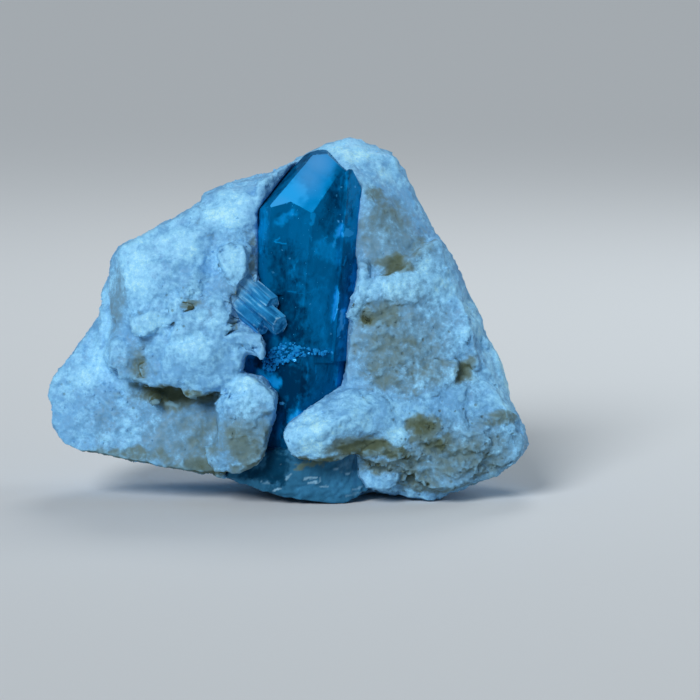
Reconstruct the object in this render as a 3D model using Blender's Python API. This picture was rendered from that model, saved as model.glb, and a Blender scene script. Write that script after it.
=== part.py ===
# Aquamarine prism grown in a broken piece of feldspar, standing on its flat underside.
# The origin is at the middle of the underside, +Z is up, and the crystal faces -Y.
# Lengths are in millimetres until the last step, which scales every mesh to metres.

import math

import bmesh
import bpy
from mathutils import Matrix, Vector, noise

MILLIMETRE = 0.001

# Driving dimensions of the crystal
CRYSTAL_HALF_WIDTH = 7.45  # from the axis to a side face
CRYSTAL_FACE = 7.6  # from the axis to a front or back face
CRYSTAL_LEAN = math.radians(4.5)  # the top leans to +X
CRYSTAL_AXIS = Vector((0.25, -2.2, 0.0))  # where the axis meets the underside
CRACK_HEIGHT = 21.0  # where the upper prism meets the wider lower one
CRYSTAL_TOP = 52.0  # prism length before its end faces are cut
GAP = 0.3  # left between a crystal and its socket
UNCUT_SIZE = 120.0  # edge of the cube that each prism is cut from

# Driving dimensions of the rock
ROCK_BACK = 15.6  # the rearmost y
ROCK_MIDDLE = Vector((1.0, 0.0, 22.0))
VOXEL = 0.8  # size of the cells that fuse the rock's blocks
STEP_HEIGHT = 0.32  # cleavage steps between neighbouring cells
STEP_SIZE = 5.0
STEP_STRETCH = Vector((0.8, 1.0, 1.25))  # the cells are long in X and thin in Z
GRAIN_HEIGHT = 0.22
GRAIN_SIZE = 2.6
SWELL = 0.25  # makes up for what fusing and thinning out take off
ROCK_TRIANGLES = 7200

# Each block of the rock is a convex chunk: corners (x, y, z) on its seen side, and the y
# to which the same corners run back.
BLOCKS = {
    "left shoulder": (2.0, [
        (-23.6, -7.5, 37.5), (-18.5, -6.5, 40.4), (-12.4, -6.0, 43.3), (-10.9, -8.4, 40.0),
        (-11.2, -9.4, 32.0), (-13.7, -10.6, 26.0), (-22.0, -9.8, 25.3), (-25.1, -7.0, 24.1),
        (-25.7, -5.0, 34.4), (-17.5, -11.4, 33.0), (-22.8, -9.9, 31.0),
    ]),
    "lower shoulder": (-2.0, [
        (-25.0, -8.0, 25.0), (-17.2, -11.2, 25.5), (-17.3, -11.3, 16.9), (-19.5, -10.8, 17.3),
        (-23.9, -9.0, 18.5), (-26.6, -5.0, 20.0),
    ]),
    "left strip": (4.0, [
        (-27.2, -1.0, 30.8), (-25.4, -2.0, 31.9), (-24.9, -7.0, 18.4), (-27.5, -4.0, 22.5),
        (-27.0, -1.5, 26.5),
    ]),
    "lobe": (-5.0, [
        (-17.2, -12.3, 23.5), (-12.2, -12.8, 25.3), (-7.5, -11.8, 24.6), (-5.9, -10.5, 22.5),
        (-6.5, -10.5, 19.3), (-8.8, -11.3, 17.0), (-13.7, -11.8, 16.7), (-18.0, -12.0, 18.1),
        (-11.5, -14.2, 21.5),
    ]),
    "upper step": (-5.0, [
        (-15.3, -11.8, 29.6), (-14.2, -11.4, 32.5), (-13.1, -10.8, 33.9), (-11.6, -10.5, 33.8),
        (-12.4, -11.3, 31.4), (-13.6, -12.0, 30.1),
    ]),
    "middle step": (-5.0, [
        (-17.0, -12.3, 24.6), (-15.1, -12.0, 27.2), (-13.0, -11.6, 29.4), (-10.6, -11.0, 29.2),
        (-10.0, -11.6, 26.0), (-11.4, -12.4, 26.6), (-14.0, -13.0, 25.6), (-15.7, -13.0, 24.7),
    ]),
    "middle left": (3.0, [
        (-11.8, -5.0, 43.6), (-4.0, -5.0, 44.4), (-4.2, -7.3, 32.1), (-6.7, -8.8, 29.4),
        (-7.2, -9.5, 24.6), (-13.0, -10.3, 24.6), (-12.7, -7.0, 37.8),
    ]),
    "upper left block": (2.0, [
        (-12.5, -5.5, 42.2), (-11.2, -4.0, 44.2), (-8.1, -3.5, 45.6), (-3.7, -3.0, 46.6),
        (-4.0, -7.5, 43.5), (-4.4, -8.3, 40.2), (-7.2, -9.2, 39.6), (-10.8, -8.6, 39.9),
        (-12.1, -7.5, 41.2),
    ]),
    "white plate": (-5.0, [
        (-10.0, -8.6, 35.8), (-7.8, -8.3, 37.0), (-6.8, -8.3, 36.7), (-5.5, -9.0, 35.3),
        (-6.1, -9.6, 33.0), (-7.3, -10.0, 31.6), (-8.6, -10.0, 32.0), (-9.5, -9.4, 33.5),
    ]),
    "scalloped plate": (-8.0, [
        (-8.4, -10.6, 26.5), (-6.1, -10.8, 26.5), (-3.5, -11.4, 24.9), (-3.1, -11.6, 23.3),
        (-3.5, -11.6, 20.9), (-5.2, -11.4, 22.3), (-6.7, -11.2, 22.7), (-8.1, -10.8, 23.5),
    ]),
    "crystal back": (8.0, [
        (-4.0, -2.0, 46.2), (0.3, -2.0, 47.8), (3.5, 0.5, 49.3), (6.0, -1.0, 50.2),
        (-4.5, -2.0, 30.0), (8.0, -2.0, 30.0),
    ]),
    "left slab": (3.0, [
        (-34.6, -5.0, 15.9), (-33.9, -4.0, 17.9), (-27.5, -2.0, 25.7), (-23.0, -6.0, 18.2),
        (-10.4, -7.0, 15.6), (-7.5, -7.0, 15.0), (-8.5, -9.0, 4.4), (-10.8, -9.0, 4.6),
        (-16.0, -9.2, 5.6), (-22.5, -9.2, 6.5), (-31.2, -8.0, 7.8), (-33.4, -7.0, 10.4),
    ]),
    "tooth": (-4.0, [
        (-7.2, -9.5, 18.3), (-3.6, -10.5, 18.5), (-1.5, -12.0, 16.0), (-1.6, -12.6, 14.5),
        (-5.2, -14.8, 14.2), (-10.2, -12.4, 15.2), (-9.9, -12.6, 6.6), (-7.4, -12.8, 4.8),
        (-3.6, -12.6, 6.5), (-2.5, -13.0, 11.3),
    ]),
    "right peak": (6.0, [
        (1.5, 0.0, 48.6), (5.3, 2.5, 51.2), (8.9, 2.5, 51.8), (14.8, 2.0, 49.7),
        (16.7, 1.0, 47.0), (21.0, -1.0, 38.4), (22.2, -3.0, 34.4), (16.0, -7.5, 34.7),
        (11.2, -8.0, 32.9), (10.6, -6.5, 44.9), (8.2, -4.0, 48.2),
    ]),
    "bright ledge": (2.0, [
        (11.8, -9.4, 31.9), (13.6, -9.6, 33.6), (17.0, -9.0, 35.2), (21.5, -5.5, 37.8),
        (23.8, -3.5, 34.9), (25.9, -4.0, 29.5), (24.1, -7.0, 29.4), (18.5, -10.2, 29.8),
        (15.0, -11.0, 29.6), (12.2, -10.6, 30.0),
    ]),
    "edge grain": (-5.0, [
        (8.3, -9.9, 27.0), (8.9, -10.2, 29.0), (9.6, -10.0, 30.0), (10.7, -9.4, 29.5),
        (10.6, -9.4, 27.8), (9.8, -9.8, 26.5), (9.5, -10.8, 28.5),
    ]),
    "right field": (3.0, [
        (8.6, -8.2, 25.1), (10.2, -8.3, 33.0), (12.4, -8.6, 29.7), (23.9, -6.6, 29.6),
        (27.5, -5.5, 24.7), (27.1, -7.0, 19.8), (24.6, -8.3, 16.7), (20.3, -10.3, 12.4),
        (16.0, -11.4, 12.0), (8.2, -10.0, 17.0), (28.3, -1.0, 26.8),
    ]),
    "right corner": (3.0, [
        (21.7, -8.5, 16.7), (27.2, -6.3, 22.4), (29.5, -6.5, 16.4), (34.6, -6.5, 7.5),
        (30.7, -8.0, 5.2), (27.2, -9.0, 4.6), (23.9, -9.6, 8.7), (22.1, -9.8, 12.3),
        (30.8, -2.0, 19.7), (33.3, -3.0, 13.0),
    ]),
    "corner block": (-4.0, [
        (28.8, -9.2, 10.7), (30.4, -8.6, 11.8), (33.6, -7.2, 10.1), (34.8, -7.0, 7.8),
        (32.1, -8.2, 5.6), (28.8, -9.4, 6.7),
    ]),
    "lower ledge": (-5.0, [
        (19.6, -10.9, 9.5), (21.7, -11.0, 10.9), (28.4, -10.0, 10.0), (28.4, -10.0, 8.3),
        (23.9, -10.8, 7.6), (20.3, -11.0, 8.5),
    ]),
    "front lump": (-4.0, [
        (-0.4, -14.0, 11.3), (-0.4, -14.5, 10.1), (0.6, -14.5, 8.1), (1.6, -13.7, 7.2),
        (6.1, -13.5, 6.6), (8.6, -13.0, 7.8), (12.4, -12.5, 9.9), (16.7, -12.0, 11.5),
        (0.6, -13.0, 12.6), (3.4, -12.0, 14.4), (6.1, -11.5, 15.9), (8.2, -11.0, 17.1),
        (11.0, -10.5, 17.2), (16.0, -11.5, 15.2), (4.4, -16.3, 11.7), (8.9, -15.3, 14.0),
    ]),
    "ragged foot": (3.0, [
        (12.1, -7.5, 5.4), (11.9, -8.0, 1.8), (13.0, -6.0, -1.0), (20.4, -6.0, -1.0),
        (26.2, -7.0, 2.2), (30.4, -7.5, 4.4), (27.5, -8.0, 7.6), (18.9, -8.6, 9.6),
        (20.4, -8.5, 1.2),
    ]),
    "pale lumps": (-5.0, [
        (11.9, -9.4, 5.0), (14.3, -9.8, 6.1), (16.7, -10.0, 7.1), (17.8, -9.8, 6.2),
        (15.8, -9.5, 3.0), (13.9, -9.2, 2.0), (11.9, -9.0, 2.2),
    ]),
}

# The rear half is one wide chunk whose section shrinks towards the back, on a flat plinth.
CORE_OUTLINE = [
    (-26.9, 28.3), (-23.9, 35.8), (-12.1, 42.4), (1.7, 47.5), (8.2, 51.0), (15.0, 49.4),
    (20.8, 38.0), (26.7, 28.1), (31.9, 15.5), (34.9, 6.7), (28.0, 3.8), (-6.0, 3.8),
    (-10.9, 4.6), (-31.0, 8.8), (-34.2, 13.6),
]
CORE_SECTIONS = [(0.0, 1.0), (7.0, 0.93), (13.0, 0.74), (ROCK_BACK, 0.42)]  # y and size
PLINTH = [
    (-1.0, -4.0, -2.0), (21.0, -5.0, -2.0), (22.5, 6.0, -2.0), (17.0, 13.5, -2.0),
    (-1.0, 13.5, -2.0), (-5.5, 8.0, -2.0),
    (-9.0, 0.0, 7.0), (26.0, 0.0, 6.0), (-9.0, 12.0, 9.0), (20.0, 14.0, 9.0),
]

# Hollows: centre, half sizes along the hollow's own axes, and its turn about Y in degrees.
HOLLOWS = {
    "cleft": ((-14.5, -10.6, 15.1), (9.0, 4.6, 1.1), 3.0),
    "deep end of the cleft": ((-12.6, -9.5, 14.9), (3.6, 4.6, 1.5), 10.0),
    "step cavity": ((-14.0, -11.4, 28.6), (1.7, 1.5, 0.7), -25.0),
    "slot": ((15.2, -9.4, 34.9), (3.4, 3.0, 0.75), -28.0),
    "lump undercut": ((11.0, -12.6, 8.3), (2.6, 2.8, 1.4), -28.0),
    "right undercut": ((19.2, -11.0, 11.3), (2.2, 2.6, 1.1), -20.0),
    "right pocket": ((21.2, -10.6, 6.6), (1.2, 2.2, 1.0), 15.0),
}


def make_object(name, bm):
    mesh = bpy.data.meshes.new(name)
    bm.to_mesh(mesh)
    bm.free()
    obj = bpy.data.objects.new(name, mesh)
    bpy.context.scene.collection.objects.link(obj)
    return obj


def remove_object(obj):
    mesh = obj.data
    bpy.data.objects.remove(obj)
    bpy.data.meshes.remove(mesh)


def add_hull(bm, corners):
    verts = [bm.verts.new(corner) for corner in corners]
    result = bmesh.ops.convex_hull(bm, input=verts, use_existing_faces=False)
    spare = [v for v in result["geom_interior"] if isinstance(v, bmesh.types.BMVert)]
    spare += [v for v in verts if v.is_valid and not v.link_faces and v not in spare]
    bmesh.ops.delete(bm, geom=spare, context="VERTS")


def cut_away(bm, point, normal):
    # Keeps what lies behind the plane, and closes the cut.
    everything = bm.verts[:] + bm.edges[:] + bm.faces[:]
    cut = bmesh.ops.bisect_plane(
        bm, geom=everything, dist=1e-6, plane_co=point, plane_no=normal, clear_outer=True)
    rim = [e for e in cut["geom_cut"] if isinstance(e, bmesh.types.BMEdge)]
    if rim:
        bmesh.ops.edgenet_fill(bm, edges=rim)


def apply_modifiers(obj):
    graph = bpy.context.evaluated_depsgraph_get()
    mesh = bpy.data.meshes.new_from_object(obj.evaluated_get(graph))
    old = obj.data
    obj.modifiers.clear()
    obj.data = mesh
    bpy.data.meshes.remove(old)


def combine(obj, others, operation):
    for other in others:
        boolean = obj.modifiers.new(operation, "BOOLEAN")
        boolean.operation = operation
        boolean.solver = "EXACT"
        boolean.object = other
        apply_modifiers(obj)
        remove_object(other)


def triangulate(obj):
    bm = bmesh.new()
    bm.from_mesh(obj.data)
    bmesh.ops.triangulate(bm, faces=bm.faces[:])
    bmesh.ops.recalc_face_normals(bm, faces=bm.faces[:])
    bm.to_mesh(obj.data)
    bm.free()


def keep_largest_body(obj):
    bm = bmesh.new()
    bm.from_mesh(obj.data)
    left = set(bm.verts)
    bodies = []
    while left:
        stack = [left.pop()]
        body = set(stack)
        while stack:
            for edge in stack.pop().link_edges:
                for vert in edge.verts:
                    if vert in left:
                        left.remove(vert)
                        body.add(vert)
                        stack.append(vert)
        bodies.append(body)
    bodies.sort(key=len)
    for body in bodies[:-1]:
        bmesh.ops.delete(bm, geom=list(body), context="VERTS")
    bm.to_mesh(obj.data)
    bm.free()


# Crystals. A prism is the space behind a set of planes. Each side face is an angle about the
# axis, 0 towards the viewer and positive to +X, with its distance from the axis. Each end
# face is a world normal and a world point on the face.

def crystal_frame():
    return Matrix.Translation(CRYSTAL_AXIS) @ Matrix.Rotation(CRYSTAL_LEAN, 4, "Y")


def make_prism(name, frame, sides, bottom, top, end_faces=(), grow=0.0):
    bm = bmesh.new()
    bmesh.ops.create_cube(bm, size=UNCUT_SIZE, matrix=frame)
    up = (frame.to_3x3() @ Vector((0.0, 0.0, 1.0))).normalized()
    for angle, distance in sides:
        turn = math.radians(angle)
        local = Vector((math.sin(turn), -math.cos(turn), 0.0))
        normal = (frame.to_3x3() @ local).normalized()
        cut_away(bm, frame @ (local * distance) + normal * grow, normal)
    cut_away(bm, frame @ Vector((0.0, 0.0, top)) + up * grow, up)
    cut_away(bm, frame @ Vector((0.0, 0.0, bottom)) - up * grow, -up)
    for normal, point in end_faces:
        outward = Vector(normal).normalized()
        cut_away(bm, Vector(point) + outward * grow, outward)
    return make_object(name, bm)


BROAD_FACE = ((-0.076, -0.656, 0.751), (3.4, -11.1, 42.0))  # the large bright end face
LEFT_FACE = ((-0.612, -0.209, 0.764), (-2.24, -9.3, 43.0))  # the narrow one on its left


def main_prism(grow):
    sides = [
        (-33, 7.46), (30, CRYSTAL_FACE), (-62, 7.4), (60, 7.4),
        (-90, CRYSTAL_HALF_WIDTH), (90, CRYSTAL_HALF_WIDTH),
        (-150, CRYSTAL_FACE), (150, CRYSTAL_FACE),
    ]
    end_faces = [
        BROAD_FACE, LEFT_FACE,
        ((0.493, -0.749, 0.438), (4.2, -10.7, 42.0)),  # the steep front right face
        ((0.579, -0.207, 0.789), (6.0, -2.6, 49.5)),  # the narrow right shoulder
        ((0.100, 0.600, 0.790), (4.6, 0.0, 50.3)),  # the hidden rear face
    ]
    return make_prism("main", crystal_frame(), sides, CRACK_HEIGHT - 0.3, CRYSTAL_TOP, end_faces, grow)


def right_prism(grow):
    sides = [(-60, -0.57), (55, 7.87), (90, 7.4), (180, 0.0)]
    end_faces = [
        ((-0.55, -0.75, 0.36), (8.6, -7.5, 47.0)),
        ((0.62, -0.30, 0.72), (8.8, -7.0, 47.0)),
    ]
    return make_prism("right", crystal_frame(), sides, CRACK_HEIGHT, 49.0, end_faces, grow)


def left_prism(grow):
    sides = [(12, 6.08), (-58, 8.87), (-90, CRYSTAL_HALF_WIDTH + 0.1), (90, -2.0), (180, 2.0)]
    end_faces = [BROAD_FACE, LEFT_FACE]
    return make_prism("left", crystal_frame(), sides, 30.0, 46.0, end_faces, grow)


def lower_prism(grow):
    sides = [
        (-32, 7.35), (34, 7.40), (-66, 7.9), (64, 7.2), (-90, 8.2), (90, 7.2),
        (-150, CRYSTAL_FACE), (150, CRYSTAL_FACE),
    ]
    end_faces = [((-0.25, -0.35, 0.90), (-5.8, -7.0, 23.2))]
    return make_prism("lower", crystal_frame(), sides, 2.0, CRACK_HEIGHT + 2.6, end_faces, grow)


def foot_chunk(grow):
    # The broken lower end of the crystal, wider than the prism above it.
    corners = [
        (-9.2, -9.6, 3.9), (-4.5, -10.2, 2.9), (-0.2, -10.3, 1.0), (4.2, -9.8, 0.4),
        (7.5, -9.2, 0.1), (11.6, -8.0, 1.8), (11.6, -8.2, 5.5), (8.9, -9.0, 8.0),
        (1.8, -11.2, 8.5), (-5.5, -9.0, 8.0), (-8.6, -7.0, 5.5),
        (-6.0, 3.0, 2.0), (9.0, 3.0, 1.5), (-3.0, 0.0, 0.1), (7.5, 0.0, 0.1),
        (-4.0, 4.0, 8.0), (8.0, 4.0, 8.0),
    ]
    middle = sum((Vector(corner) for corner in corners), Vector()) / len(corners)
    bm = bmesh.new()
    reach = grow * 1.5  # a corner moves further out than the faces beside it
    add_hull(bm, [Vector(c) + (Vector(c) - middle).normalized() * reach for c in corners])
    return make_object("foot", bm)


def make_crystal(name, grow=0.0):
    crystal = main_prism(grow)
    others = [right_prism(grow), left_prism(grow), lower_prism(grow), foot_chunk(grow)]
    combine(crystal, others, "UNION")
    crystal.name = name
    crystal.data.name = name
    return crystal


# The side crystal is a sheaf of three parallel blades.
SIDE_ROOT = Vector((-7.2, -8.7, 31.0))
SIDE_TIP = Vector((-0.6, -11.3, 25.7))
BLADES = [  # offset across the sheaf, half width, half thickness, length
    (1.75, 0.95, 1.05, 6.2),
    (0.15, 1.05, 1.25, 9.4),
    (-1.65, 1.05, 1.00, 7.6),
]
BLADE_ROOT = 3.0  # how far a blade runs back into the rock
BLADE_SLOPE = 52  # degrees from a blade's flat front to its flanks


def blade_frame(offset):
    along = (SIDE_TIP - SIDE_ROOT).normalized()
    thick = Vector((0.0, -1.0, 0.0))
    thick = (thick - along * thick.dot(along)).normalized()
    across = along.cross(thick).normalized()
    if across.z < 0:
        across = -across
    turn = Matrix((across, -thick, along)).transposed().to_4x4()
    return Matrix.Translation(SIDE_ROOT + across * offset) @ turn


def make_side_crystal(name, grow=0.0):
    blades = []
    for number, (offset, half_width, half_thickness, length) in enumerate(BLADES):
        frame = blade_frame(offset)
        slope = math.radians(BLADE_SLOPE)
        corner = 0.55 * half_thickness  # how far forward the blade is at its widest
        flank = half_width * math.sin(slope) + corner * math.cos(slope)
        sides = [(0, half_thickness), (180, half_thickness)]
        for angle in (BLADE_SLOPE, 180 - BLADE_SLOPE):
            sides += [(angle, flank), (-angle, flank)]
        tip = frame @ Vector((0.0, 0.0, length))
        end_faces = [(frame.to_3x3() @ Vector((0.15, -0.45, 1.0)), tip)]
        blades.append(make_prism(
            "blade%d" % number, frame, sides, -BLADE_ROOT, length + 0.8, end_faces, grow))
    sheaf = blades[0]
    combine(sheaf, blades[1:], "UNION")
    combine(sheaf, [make_crystal("neighbour", GAP - grow)], "DIFFERENCE")
    keep_largest_body(sheaf)
    sheaf.name = name
    sheaf.data.name = name
    return sheaf


# The rock

def add_core(bm):
    corners = []
    for y, size in CORE_SECTIONS:
        for x, z in CORE_OUTLINE:
            corners.append((
                ROCK_MIDDLE.x + (x - ROCK_MIDDLE.x) * size, y,
                ROCK_MIDDLE.z + (z - ROCK_MIDDLE.z) * size))
    add_hull(bm, corners)


def cell_offset(point, size, seed):
    # A number from -1 to 1 that is the same all over one cleavage cell.
    shifted = point * STEP_STRETCH / size + Vector((seed, 0.0, 0.0))
    centre = noise.voronoi(shifted)[1][0]
    spread = 7.31  # keeps two neighbouring centres out of one lattice cell
    return noise.cell(centre * spread) * 2.0 - 1.0


def roughen(obj):
    mesh = obj.data
    moved = []
    for vert in mesh.vertices:
        point = vert.co
        step = cell_offset(point, STEP_SIZE, 3.0) * STEP_HEIGHT
        grain = noise.fractal(point / GRAIN_SIZE, 0.9, 2.0, 3) * GRAIN_HEIGHT
        moved.append(point + vert.normal * (step + grain + SWELL))
    for vert, place in zip(mesh.vertices, moved):
        vert.co = place


def make_hollow(centre, half_sizes, turn):
    bm = bmesh.new()
    bmesh.ops.create_icosphere(bm, subdivisions=2, radius=1.0)
    place = Matrix.Translation(centre) @ Matrix.Rotation(math.radians(turn), 4, "Y")
    bm.transform(place @ Matrix.Diagonal((*half_sizes, 1.0)))
    return make_object("hollow", bm)


def make_rock(name):
    bm = bmesh.new()
    add_core(bm)
    add_hull(bm, PLINTH)
    for back, corners in BLOCKS.values():
        add_hull(bm, corners + [(x, back, z) for x, _, z in corners])
    rock = make_object(name, bm)
    remesh = rock.modifiers.new("fuse", "REMESH")
    remesh.mode = "VOXEL"
    remesh.voxel_size = VOXEL
    apply_modifiers(rock)
    roughen(rock)
    triangles = sum(len(p.vertices) - 2 for p in rock.data.polygons)
    decimate = rock.modifiers.new("thin out", "DECIMATE")
    decimate.ratio = ROCK_TRIANGLES / triangles
    apply_modifiers(rock)
    hollows = [make_hollow(*values) for values in HOLLOWS.values()]
    combine(rock, hollows, "DIFFERENCE")
    ground = bmesh.new()
    below = Matrix.Translation((0.0, 0.0, -UNCUT_SIZE / 2.0))
    bmesh.ops.create_cube(ground, size=UNCUT_SIZE, matrix=below)
    combine(rock, [make_object("ground", ground)], "DIFFERENCE")
    combine(rock, [make_crystal("socket", GAP), make_side_crystal("seat", GAP)], "DIFFERENCE")
    keep_largest_body(rock)
    return rock


def make_material(name, colour, roughness, transmission=0.0, ior=1.5):
    material = bpy.data.materials.new(name)
    material.use_nodes = True
    shader = material.node_tree.nodes["Principled BSDF"]
    shader.inputs["Base Color"].default_value = (*colour, 1.0)
    shader.inputs["Roughness"].default_value = roughness
    shader.inputs["Metallic"].default_value = 0.0
    shader.inputs["Transmission Weight"].default_value = transmission
    shader.inputs["IOR"].default_value = ior
    return material


def main():
    for obj in list(bpy.data.objects):
        bpy.data.objects.remove(obj)
    rock = make_rock("feldspar_matrix")
    crystal = make_crystal("aquamarine_crystal")
    side = make_side_crystal("side_crystal")
    finishes = [
        (rock, make_material("feldspar", (0.45, 0.66, 0.80), 0.75)),
        (crystal, make_material("aquamarine", (0.03, 0.22, 0.48), 0.06, 0.9, 1.575)),
        (side, make_material("pale aquamarine", (0.20, 0.50, 0.72), 0.12, 0.8, 1.575)),
    ]
    for obj, material in finishes:
        triangulate(obj)
        obj.data.transform(Matrix.Scale(MILLIMETRE, 4))
        obj.data.materials.clear()
        obj.data.materials.append(material)


main()
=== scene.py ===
import math

import bmesh
import bpy
import numpy as np
from mathutils import Matrix, Vector, noise
from mathutils.bvhtree import BVHTree


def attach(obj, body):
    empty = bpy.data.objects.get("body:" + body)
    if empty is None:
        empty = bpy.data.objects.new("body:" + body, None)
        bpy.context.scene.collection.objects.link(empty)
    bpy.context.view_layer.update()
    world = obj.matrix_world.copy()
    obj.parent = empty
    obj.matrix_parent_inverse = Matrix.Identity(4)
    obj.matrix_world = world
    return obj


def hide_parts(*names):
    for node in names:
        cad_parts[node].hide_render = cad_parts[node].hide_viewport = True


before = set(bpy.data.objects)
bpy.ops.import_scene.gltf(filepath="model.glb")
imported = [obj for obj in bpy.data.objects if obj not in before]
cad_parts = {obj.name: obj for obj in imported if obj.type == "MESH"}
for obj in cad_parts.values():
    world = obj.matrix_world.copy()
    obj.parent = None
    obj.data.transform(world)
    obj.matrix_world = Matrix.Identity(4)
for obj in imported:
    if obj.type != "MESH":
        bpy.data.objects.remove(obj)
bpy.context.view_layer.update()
mm = 0.001  # everything is shaped in millimetres and scaled once, when a piece is finished


class Wire:
    # An output socket that shader maths can be written with.
    def __init__(self, graph, socket):
        self.graph = graph
        self.socket = socket

    def __add__(self, other):
        return self.graph.maths("ADD", self, other)

    def __sub__(self, other):
        return self.graph.maths("SUBTRACT", self, other)

    def __rsub__(self, other):
        return self.graph.maths("SUBTRACT", other, self)

    def __mul__(self, other):
        return self.graph.maths("MULTIPLY", self, other)

    def __truediv__(self, other):
        return self.graph.maths("DIVIDE", self, other)

    __radd__ = __add__
    __rmul__ = __mul__


class Graph:
    # Writes the nodes of one tree.
    def __init__(self, tree):
        self.tree = tree
        tree.nodes.clear()

    def add(self, kind, settings=None, sockets=None, out=0):
        # The settings come first, because some of them change which sockets there are.
        node = self.tree.nodes.new(kind)
        for key, value in (settings or {}).items():
            if key == "stops":
                ramp = node.color_ramp.elements
                while len(ramp) < len(value):
                    ramp.new(0.5)
                for stop, (place, level) in zip(ramp, value):
                    stop.position = place
                    stop.color = level if isinstance(level, tuple) else (level, level, level, 1.0)
            else:
                setattr(node, key, value)
        for key, value in (sockets or {}).items():
            if isinstance(value, Wire):
                self.tree.links.new(value.socket, node.inputs[key])
            else:
                node.inputs[key].default_value = value
        return Wire(self, node.outputs[out]) if len(node.outputs) else node

    def also(self, wire, name):
        # Another output of the node that this wire comes from.
        return Wire(self, wire.socket.node.outputs[name])

    def maths(self, operation, first, second=0.0):
        return self.add("ShaderNodeMath", {"operation": operation}, {0: first, 1: second})

    def ramp(self, value, low, high, start=0.0, end=1.0):
        # A soft step from start to end while value goes from low to high.
        return self.add("ShaderNodeMapRange", {"interpolation_type": "SMOOTHSTEP"}, {
            "Value": value, "From Min": low, "From Max": high, "To Min": start, "To Max": end})

    def blend(self, share, first, second):
        return self.add("ShaderNodeMix", {"data_type": "RGBA"}, {
            0: share, 6: first, 7: second}, out=2)

    def attribute(self, name):
        return self.add("ShaderNodeAttribute", {"attribute_name": name}, out="Fac")

    def scaled(self, vector, x, y, z):
        return self.add("ShaderNodeVectorMath", {"operation": "MULTIPLY"}, {
            0: vector, 1: (x, y, z)})

    def noise(self, vector, size, detail=3.0, roughness=0.55, warp=0.0):
        # size is in millimetres
        return self.add("ShaderNodeTexNoise", {}, {
            "Vector": vector, "Scale": 1.0 / (size * mm), "Detail": detail,
            "Roughness": roughness, "Distortion": warp})


def newMaterial(name):
    material = bpy.data.materials.new(name)
    material.use_nodes = True
    return material, Graph(material.node_tree)


def shaderOutput(graph, surface, volume=None):
    sockets = {"Surface": surface}
    if volume:
        sockets["Volume"] = volume
    graph.add("ShaderNodeOutputMaterial", {}, sockets)


def makeObject(name, bm):
    mesh = bpy.data.meshes.new(name)
    bm.to_mesh(mesh)
    bm.free()
    obj = bpy.data.objects.new(name, mesh)
    bpy.context.scene.collection.objects.link(obj)
    return obj


def removeObject(obj):
    mesh = obj.data
    bpy.data.objects.remove(obj)
    bpy.data.meshes.remove(mesh)


def settle(obj):
    # Turns the modifiers' result into the object's own plain mesh.
    graph = bpy.context.evaluated_depsgraph_get()
    mesh = bpy.data.meshes.new_from_object(obj.evaluated_get(graph))
    old = obj.data
    obj.modifiers.clear()
    obj.data = mesh
    bpy.data.meshes.remove(old)


def addHull(bm, corners):
    verts = [bm.verts.new(corner) for corner in corners]
    result = bmesh.ops.convex_hull(bm, input=verts, use_existing_faces=False)
    spare = [v for v in result["geom_interior"] if isinstance(v, bmesh.types.BMVert)]
    spare += [v for v in verts if v.is_valid and not v.link_faces and v not in spare]
    bmesh.ops.delete(bm, geom=spare, context="VERTS")


def fuse(obj, cell):
    remesh = obj.modifiers.new("fuse", "REMESH")
    remesh.mode = "VOXEL"
    remesh.voxel_size = cell
    settle(obj)


def combine(obj, other, operation):
    boolean = obj.modifiers.new(operation, "BOOLEAN")
    boolean.operation = operation
    boolean.solver = "EXACT"
    boolean.object = other
    settle(obj)
    removeObject(other)


def readPoints(mesh):
    points = np.empty(len(mesh.vertices) * 3)
    mesh.vertices.foreach_get("co", points)
    return points.reshape(-1, 3)


def readNormals(mesh):
    normals = np.empty(len(mesh.vertices) * 3)
    mesh.vertices.foreach_get("normal", normals)
    return normals.reshape(-1, 3)


def writePoints(mesh, points):
    mesh.vertices.foreach_set("co", np.ascontiguousarray(points).ravel())
    mesh.update()


def readEdges(mesh):
    edges = np.empty(len(mesh.edges) * 2, dtype=np.int32)
    mesh.edges.foreach_get("vertices", edges)
    return edges.reshape(-1, 2)


def neighbourMean(values, edges):
    # The mean of the values at the far ends of each point's edges.
    total = np.zeros_like(values)
    count = np.zeros(len(values))
    for near, far in ((0, 1), (1, 0)):
        np.add.at(total, edges[:, near], values[edges[:, far]])
        np.add.at(count, edges[:, near], 1.0)
    count = np.maximum(count, 1.0)
    return total / (count[:, None] if values.ndim > 1 else count)


def paint(mesh, name, values):
    layer = mesh.attributes.new(name, "FLOAT", "POINT")
    layer.data.foreach_set("value", np.ascontiguousarray(values, dtype=np.float32))


def softStep(values, low, high):
    t = np.clip((values - low) / (high - low), 0.0, 1.0)
    return t * t * (3.0 - 2.0 * t)


def unit(vectors):
    return vectors / np.maximum(np.linalg.norm(vectors, axis=-1, keepdims=True), 1e-9)


def patch(points, centre, radii, edge=0.5):
    # 1 inside an ellipsoid, falling to 0 outside it
    away = np.linalg.norm((points - np.array(centre)) / np.array(radii), axis=1)
    return 1.0 - softStep(away, 1.0 - edge, 1.0 + edge)


# Marks and outlines are places (x, z) on an upright plane at this y, as the front shows it.
# The slope is that of the line of sight.
frontView = {"y": -9.0, "slope": 0.14}


def seenFromFront(points):
    # Where the front shows each point, carried along the line of sight to the plane.
    height = points[:, 2] + (points[:, 1] - frontView["y"]) * frontView["slope"]
    return np.stack((points[:, 0], height), axis=1)


def awayFromPath(places, path):
    away = np.full(len(places), 1e9)
    for start, end in zip(path, path[1:] or path):
        start = np.array(start)
        span = np.array(end) - start
        share = np.clip((places - start) @ span / max(span @ span, 1e-9), 0.0, 1.0)
        away = np.minimum(away, np.linalg.norm(places - start - share[:, None] * span, axis=1))
    return away


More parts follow.
